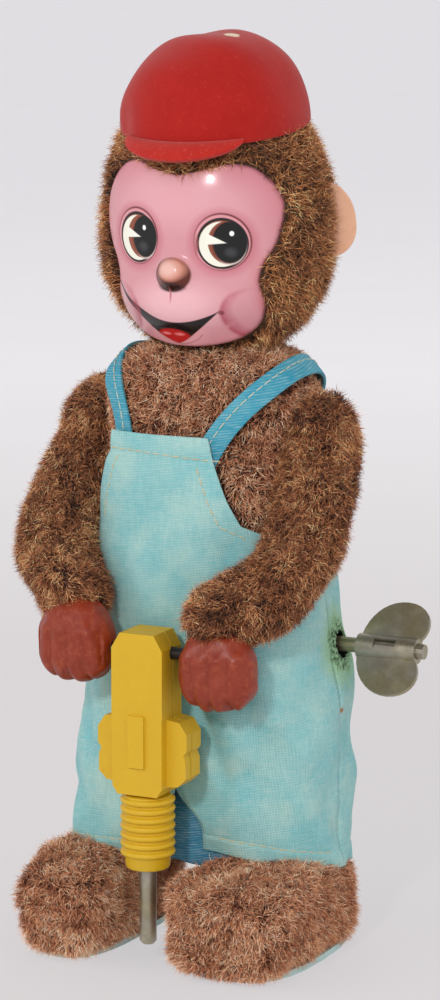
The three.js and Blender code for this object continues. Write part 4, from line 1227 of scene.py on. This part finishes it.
def panel_half(side, front, rows, columns):
    """Half of the front or rear panel as a grid, from the middle edge round to the side seam."""
    around = np.linspace(0, 1, columns)[None, :]

    top = np.full((1, columns), 90.0)
    for _ in range(60):
        x, _y = beside_leg(side, around, top, front)
        goal = bib_top(x) if front else REAR_TOP_Z + 0.6 * np.cos(x / 6)
        top += 0.3 * (goal - top)
    hem = hem_z(side, front, around)
    leg_rows = rows // 3
    lower = np.linspace(0, 1, leg_rows, endpoint=False)[:, None]
    upper = np.linspace(0, 1, rows - leg_rows)[:, None]
    z = np.vstack([hem + (CROTCH_Z - hem) * lower, CROTCH_Z + (top - CROTCH_Z) * upper])
    x, y = beside_leg(side, around, z, front)
    return x, y, z


def hem_z(side, front, seam_share):
    """Height of the trouser hem, which rises towards the gap between the legs at the front."""
    if front:
        middle = 20.8 if side > 0 else 18.4
        return middle + (16.4 - middle) * seam_share ** 1.6 - 0.7 * np.sin(seam_share * math.pi)
    return 15.0 + 1.4 * seam_share


def cloth_relief(points, front):
    """How far the cloth stands off its smooth outline: sewn folds, and ripples that grow down the legs."""
    x, z = points[:, 0], points[:, 2]
    folds = fold_height(x, z, FRONT_FOLDS if front else REAR_FOLDS)
    ripple = Waves(41, 24).at(points)[:, 0] * 0.7 + Waves(42, 10).at(points)[:, 1] * 0.22
    legs = soft_step(70 - z, 0, 40)
    return folds + ripple * (0.35 + 0.65 * legs)


def out_of_cloth(points):
    """Direction out of the overalls, as on an oval 54 mm wide and 36 mm deep."""
    x, y = points[:, 0], points[:, 1]
    return unit(np.stack([x / 27 ** 2, y / 18 ** 2, np.zeros(len(points))], axis=1))


def overalls_panel(front, material):
    """Front or rear of the overalls, made as two halves and welded along the middle."""
    name = "cloth_front" if front else "cloth_rear"
    rows, columns = 150, 74
    pieces = []
    faces = []
    for side in (1, -1):
        x, y, z = panel_half(side, front, rows, columns)
        flat = np.stack([x, y, z], axis=2).reshape(-1, 3)
        out = cloth_relief(flat, front)
        hem_low = hem_z(side, front, np.linspace(0, 1, columns)[None, :]) * np.ones((rows, 1))
        above_hem = (z - hem_low).ravel()
        out += 0.22 * (1 - soft_step(above_hem, 3.0, 3.5)) - 0.2 * np.exp(-((above_hem - 3.2) / 0.3) ** 2)
        out += bib_hem_relief(flat, front)
        offset = len(pieces) * rows * columns
        quads = grid_faces(rows, columns, offset=offset)
        facing = (side > 0) != front
        faces += [f if facing else f[::-1] for f in quads]
        pieces.append(flat + out_of_cloth(flat) * out[:, None])
    points = np.vstack(pieces)
    node = "overalls_front" if front else "overalls_rear"
    obj = make_piece(name, points, faces, material, "root", [node])
    weld(obj, 0.12)
    if not front:
        cut_key_hole(obj)
    solidify(obj, 0.45)
    return obj


def bib_hem_relief(points, front):
    """The turned-over top edge and side edges of the bib stand a little proud of the cloth."""
    if not front:
        return 0.25 * soft_step(points[:, 2], 79.6, 80.0)
    x, z = points[:, 0], points[:, 2]
    below_top = BIB_TOP_Z - z - 0.7 * soft_step(x, -10, 10)
    band = (1 - soft_step(below_top, 3.2, 3.7)) * (z > 88)
    groove = np.exp(-((below_top - 3.5) / 0.3) ** 2) * (z > 88)
    return 0.2 * band - 0.16 * groove


def weld(obj, distance_mm):
    """Joins points that lie together, and turns the faces outward."""
    work = bmesh.new()
    work.from_mesh(obj.data)
    bmesh.ops.remove_doubles(work, verts=work.verts, dist=distance_mm * MM)
    bmesh.ops.recalc_face_normals(work, faces=work.faces)
    outward = sum(f.normal.xy.dot(f.calc_center_median().xy) for f in work.faces)
    if outward < 0:
        bmesh.ops.reverse_faces(work, faces=work.faces)
    work.to_mesh(obj.data)
    work.free()


def cut_key_hole(obj):
    """Opens the cloth round the key's arbor on the toy's left."""
    low, high = node_box("key_arbor")
    hole_y, hole_z = (low[1] + high[1]) / 2, (low[2] + high[2]) / 2
    points = (np.array([v.co[:] for v in obj.data.vertices]) - AXIS) / MM
    away = np.hypot(points[:, 1] - hole_y, points[:, 2] - hole_z)
    remove_vertices(obj, (away < 3.1) & (points[:, 0] > 0))


def inner_leg(material):
    """The cloth between the legs: it lies over the tin body and folds at the right leg's edge."""
    rows, columns = 40, 50
    low, _high = node_box("body_shell_front")
    across = np.linspace(-9, 13, columns)[None, :]
    z = np.linspace(17.6, CROTCH_Z + 1.5, rows)[:, None] + 0.5 * np.cos(across / 3)
    fold = 1.1 * np.exp(-((across - 2.6) / 2.2) ** 2) * soft_step(CROTCH_Z - z, -1, 8)
    y = low[1] - 0.55 - fold
    points = np.stack([across * np.ones_like(z), y, z], axis=2).reshape(-1, 3)
    points += Waves(51, 7).at(points) * np.array([0.2, 0.12, 0])
    obj = make_piece("cloth_inner_leg", points, grid_faces(rows, columns), material, "root")
    solidify(obj, 0.4, offset=0)


def stitch_row(name, path, outward, body, material, length=1.7, space=0.35, radius=0.11, lift=0.06):
    """Separate sewn stitches: small rounded dashes that lie along a path."""
    path = np.asarray(path, dtype=float)
    steps = np.concatenate([[0], np.cumsum(np.linalg.norm(np.diff(path, axis=0), axis=1))])
    points, faces = [], []
    sides = 6
    position = space
    while position + length < steps[-1]:
        marks = position + length * np.array([0.0, 0.12, 0.5, 0.88, 1.0])
        line = np.stack([np.interp(marks, steps, path[:, k]) for k in range(3)], axis=1)
        away = np.stack([np.interp(marks, steps, outward[:, k]) for k in range(3)], axis=1)
        line += unit(away) * (lift * np.array([-0.6, 0.5, 1.0, 0.5, -0.6]))[:, None]
        rings = tube_points(line, radius * np.array([0.5, 0.95, 1.1, 0.95, 0.5]), sides, start=away[0])
        offset = len(points) * sides * 5
        points.append(rings.reshape(-1, 3))
        faces += grid_faces(5, sides, wrap=True, offset=offset)
        faces.append(tuple(offset + k for k in range(sides))[::-1])
        faces.append(tuple(offset + 4 * sides + k for k in range(sides)))
        position += length + space
    return make_piece(name, np.vstack(points), faces, material, body)


def surface_path(xs, zs, front=True):
    """Points on the overalls at given x and z, with the way out of the cloth there."""
    a, b, power = overalls_outline(zs)
    inside = np.clip(1 - (np.abs(xs) / a) ** power, 0, 1)
    y = (-1 if front else 1) * b * inside ** (1 / power)
    flat = np.stack([xs, y, zs], axis=1)
    away = out_of_cloth(flat)
    return flat + away * cloth_relief(flat, front)[:, None], away


def make_stitches():
    """Cream thread along the bib's top and sides and along the front hems."""
    cream = thread("thread_cream", srgb(222, 208, 170))
    xs = np.linspace(-14.0, 10.2, 60)
    zs = BIB_TOP_Z - 3.4 - 0.9 * soft_step(xs, -10, 10)
    rows = {"bib_top": (xs, zs)}
    left_z = np.linspace(98.0, 83.5, 40)
    rows["bib_right"] = (np.interp(left_z, BIB_EDGE[2:7, 1], BIB_EDGE[2:7, 0]) + 2.7, left_z)
    right_z = np.linspace(97.0, 82.5, 40)
    rows["bib_left"] = (np.interp(right_z, BIB_EDGE[11:6:-1, 1], BIB_EDGE[11:6:-1, 0]) - 3.7, right_z)
    for name, (row_x, row_z) in rows.items():
        path, away = surface_path(row_x, row_z)
        stitch_row(f"stitches_{name}", path, away, "root", cream)
    for side, name in ((1, "left"), (-1, "right")):
        share = np.linspace(0.06, 0.93, 90)
        z = hem_z(side, True, share) + 3.2
        xs, _ys = beside_leg(side, share, z, True)
        path, away = surface_path(xs, z)
        stitch_row(f"stitches_hem_{name}", path, away, "root", cream)


# ---- Straps ------------------------------------------------------------------------------------------
# Middle line of each strap, from behind the bib over the shoulder to the rear waist.
STRAP_ROUTES = {
    "strap_right": [
        (-11.0, -16.6, 98.0), (-12.8, -17.0, 104.0), (-15.4, -13.6, 110.0), (-17.2, -7.0, 114.0),
        (-17.8, 0.5, 115.2), (-16.8, 9, 112.4), (-12.4, 16.0, 101), (-8.4, 20.0, 82.6),
    ],
    "strap_left": [
        (5.6, -17.2, 96.0), (8.2, -17.4, 101.4), (13.0, -15.4, 107.8), (18.0, -9.0, 113.2),
        (19.2, -1, 115.0), (17.4, 8, 112.6), (13.0, 16.0, 101), (8.4, 20.0, 82.6),
    ],
}
STRAP_LIFT = 1.7  # mm between the plush backing and the middle of a strap


def strap_path(route, count):
    """The route laid on the plush: each point moves to just above the nearest part of the torso."""
    path = catmull_rom(route, count)
    points, faces = torso_skin()
    normals, _areas = vertex_normals(points, to_triangles(faces))
    nearest = np.argmin(np.linalg.norm(path[:, None, :] - points[None], axis=2), axis=1)
    out = normals[nearest]
    out = out * np.sign((out * (points[nearest] - [0, 0, 96])).sum(axis=1))[:, None]
    height = ((path - points[nearest]) * out).sum(axis=1)
    laid = path + out * (STRAP_LIFT - height)[:, None]
    padded = np.vstack([laid[:1]] * 5 + [laid] + [laid[-1:]] * 5)
    kernel = np.ones(11) / 11
    return np.column_stack([np.convolve(padded[:, k], kernel, "valid") for k in range(3)])


def make_strap(node, material, cream):
    """Folded cloth strap that runs over the shoulder, with one sewn line along its inner third."""
    count, columns = 90, 9
    path = strap_path(STRAP_ROUTES[node], count)
    tangent = unit(np.gradient(path, axis=0))
    heart = np.array([0, 0, 96.0])
    across = unit(np.cross(path - heart, tangent))
    outward = unit(np.cross(tangent, across))
    flips = np.sign((outward * (path - heart)).sum(axis=1))[:, None]
    outward = outward * flips
    half_width = 2.35
    offsets = np.linspace(-half_width, half_width, columns)
    crown = 0.16 * (1 - (offsets / half_width) ** 2)
    rows = []
    for k in range(count):
        wave = 0.18 * math.sin(k * 0.35) * offsets / half_width
        rows.append(path[k] + across[k] * offsets[:, None] + outward[k] * (crown + wave)[:, None])
    points = np.vstack(rows)
    faces = grid_faces(count, columns)
    obj = make_piece(f"cloth_{node}", points, faces, material, "root", [node])
    solidify(obj, 0.7, offset=0)
    bevel(obj, 0.2, 2, 50)
    inner = -np.sign(path[0][0])
    seam_side = np.sign((across[10] * np.array([inner, 0, 0])).sum()) * 0.75
    seam = path + across * seam_side + outward * 0.52
    stitch_row(f"stitches_{node}", seam[2:-4], outward[2:-4], "root", cream, radius=0.12)


# ---- Hands, bar and drill ----------------------------------------------------------------------------
def make_hand(name, node, side, material):
    """Moulded fist: four curled fingers side by side, a knuckle line and a scalloped lower edge."""
    low, high = node_box(node)
    centre = (low + high) / 2
    half = (high - low) / 2
    rows, columns = 70, 96
    polar = np.linspace(0.03, math.pi - 0.03, rows)[:, None]
    around = np.linspace(0, 2 * math.pi, columns, endpoint=False)[None, :]
    wide = np.sin(polar) ** 0.62
    x = half[0] * 1.02 * wide * signed_power(np.cos(around), 0.8)
    y = half[1] * 1.02 * wide * signed_power(np.sin(around), 0.85)
    z = half[2] * signed_power(np.cos(polar), 0.75) * np.ones_like(around)
    taper = 1 - 0.2 * soft_step(z, 1, half[2]) - 0.06 * soft_step(-z, 3, half[2])
    x, y = x * taper, y * taper
    finger = half[0] * 2 * 0.94 / 4
    phase = (x + half[0] * 0.94) / finger
    ridge = np.abs(np.sin(np.clip(phase, 0, 4) * math.pi)) ** 0.6
    front = soft_step(-y, 0.4, 2.8)
    low_part = soft_step(-z, -4.6, -1.0)
    groove = (1 - ridge) * front * low_part * (np.abs(x) < half[0] * 0.9)
    y = y + 0.85 * groove
    bottom = soft_step(-z, half[2] * 0.55, half[2] * 0.95)
    z = z + 0.9 * (1 - ridge) * bottom
    knuckle = np.exp(-((z - 2.6) / 1.1) ** 2) * front
    y = y - 0.35 * knuckle * ridge
    thumb = hill(x * side + half[0] * 0.55, z - 3.0, 1.8, 4.0) * soft_step(-y, 0, 2)
    y = y - 0.9 * thumb
    points = np.stack([x, y, z], axis=2).reshape(-1, 3) + centre
    points += Waves(71 + side, 5).at(points) * 0.12
    faces = grid_faces(rows, columns, wrap=True)
    top, bottom_point = len(points), len(points) + 1
    points = np.vstack([points, points[:columns].mean(axis=0), points[-columns:].mean(axis=0)])
    last = (rows - 1) * columns
    faces += fan(top, 0, columns)
    faces += fan(bottom_point, last, columns, turned=True)
    faces = [f[::-1] for f in faces]
    make_piece(name, points, faces, material, "arms", [node])


def cad_copy(name, node, material, body, bevel_mm, segments=3, angle=28):
    """The CAD node's own shape with rounded edges."""
    source = frame["nodes"][node]
    mesh = source.data.copy()
    mesh.name = name
    mesh.materials.clear()
    mesh.materials.append(material)
    work = bmesh.new()
    work.from_mesh(mesh)
    bmesh.ops.remove_doubles(work, verts=work.verts, dist=0.00001)
    bmesh.ops.dissolve_limit(work, angle_limit=math.radians(2), verts=work.verts, edges=work.edges)
    work.to_mesh(mesh)
    work.free()
    mesh.polygons.foreach_set("use_smooth", np.full(len(mesh.polygons), True))
    obj = bpy.data.objects.new(name, mesh)
    obj.matrix_world = source.matrix_world
    bpy.context.scene.collection.objects.link(obj)
    bevel(obj, bevel_mm, segments, angle)
    normals = obj.modifiers.new("shading", "WEIGHTED_NORMAL")
    normals.keep_sharp = True
    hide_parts(node)
    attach(obj, body)
    return obj


def turned_piece(name, node, profile, sides, centre, material, body):
    """A lathe-turned piece that stands for a node, with its edges eased."""
    points, faces = lathe(profile, sides)
    points = points + np.array(centre)
    obj = make_piece(name, points, faces, material, body, [node])
    bevel(obj, 0.12, 2, 40)
    return obj


def make_drill(yellow):
    """Two moulded halves, the ribbed barrel and the steel bit."""
    cad_copy("moulded_drill_front", "drill_front", yellow, "drill", 0.55)
    cad_copy("moulded_drill_rear", "drill_rear", yellow, "drill", 0.5)
    low, high = node_box("drill_barrel")
    centre = ((low[0] + high[0]) / 2, (low[1] + high[1]) / 2, 0)
    ribs, top, pitch = 7, high[2], 1.72
    profile = [(0, top), (3.6, top), (4.55, top - 0.25)]
    for k in range(ribs):
        z = top - 0.3 - k * pitch
        profile += [(4.55, z - 0.2), (5.2, z - 0.45), (5.32, z - 0.85), (5.2, z - 1.25), (4.55, z - 1.5)]
    bottom, bore_top = low[2], low[2] + 4
    profile += [(4.45, top - 12.3), (4.3, bottom + 0.5), (4.0, bottom)]
    profile += [(1.9, bottom), (1.9, bore_top), (0, bore_top)]
    profile.reverse()
    turned_piece("ribbed_barrel", "drill_barrel", profile, 56, centre, yellow, "drill")
    low, high = node_box("drill_bit")
    bit = [(0, low[2]), (1.15, low[2]), (1.65, low[2] + 0.7), (1.65, high[2]), (0, high[2])]
    turned_piece("steel_bit", "drill_bit", bit, 32, centre, steel("steel_bit"), "drill")


def make_key(material):
    cad_copy("stamped_key", "winding_key", material, "winder", 0.16, 2, 40)


# ---- Assembly ----------------------------------------------------------------------------------------
def dress_cad_nodes():
    """Materials for the CAD nodes that keep their own shape."""
    looks = {
        "steel": steel("steel_tarnished"), "dark_steel": steel("steel_blued", dark=True), "brass": brass(),
        "tinplate": tinplate(), "sole_card": sole_card(),
    }
    slots = {row["node"]: row["material_slot"] for row in frame["record"]["subparts"]}
    for node, obj in frame["nodes"].items():
        look = looks.get(slots[node])
        if look:
            obj.data.materials.clear()
            obj.data.materials.append(look)


def make_toy():
    dress_cad_nodes()
    body_tones = tone_materials("pile_body", BODY_TONES)
    shaded_arm_tones = tone_materials("pile_arm_shaded", SHADED_ARM_TONES)
    head_tones = tone_materials("pile_head", HEAD_TONES)
    body_skin = skin_look("backing_body", (46, 28, 22), (84, 54, 42))
    make_head(head_tones, skin_look("backing_head", (54, 40, 28), (96, 74, 50)))
    make_torso(body_tones, body_skin)
    for side, name, seed in ((1, "left", 31), (-1, "right", 37)):
        make_arm(side, name, shaded_arm_tones, body_skin, seed)
        make_foot(name, body_tones, body_skin, seed + 50)
    aqua = overalls_cloth()
    overalls_panel(True, aqua)
    overalls_panel(False, aqua)
    inner_leg(shaded_inner_leg_cloth())
    make_stitches()
    strap_look = strap_cloth()
    cream = thread("thread_strap", srgb(206, 214, 190))
    for node in STRAP_ROUTES:
        make_strap(node, strap_look, cream)
    vinyl = hand_vinyl()
    make_hand("vinyl_hand_left", "hand_left", 1, vinyl)
    make_hand("vinyl_hand_right", "hand_right", -1, vinyl)
    make_drill(drill_yellow())
    make_key(steel("steel_key"))


make_camera()
make_stage()
make_toy()
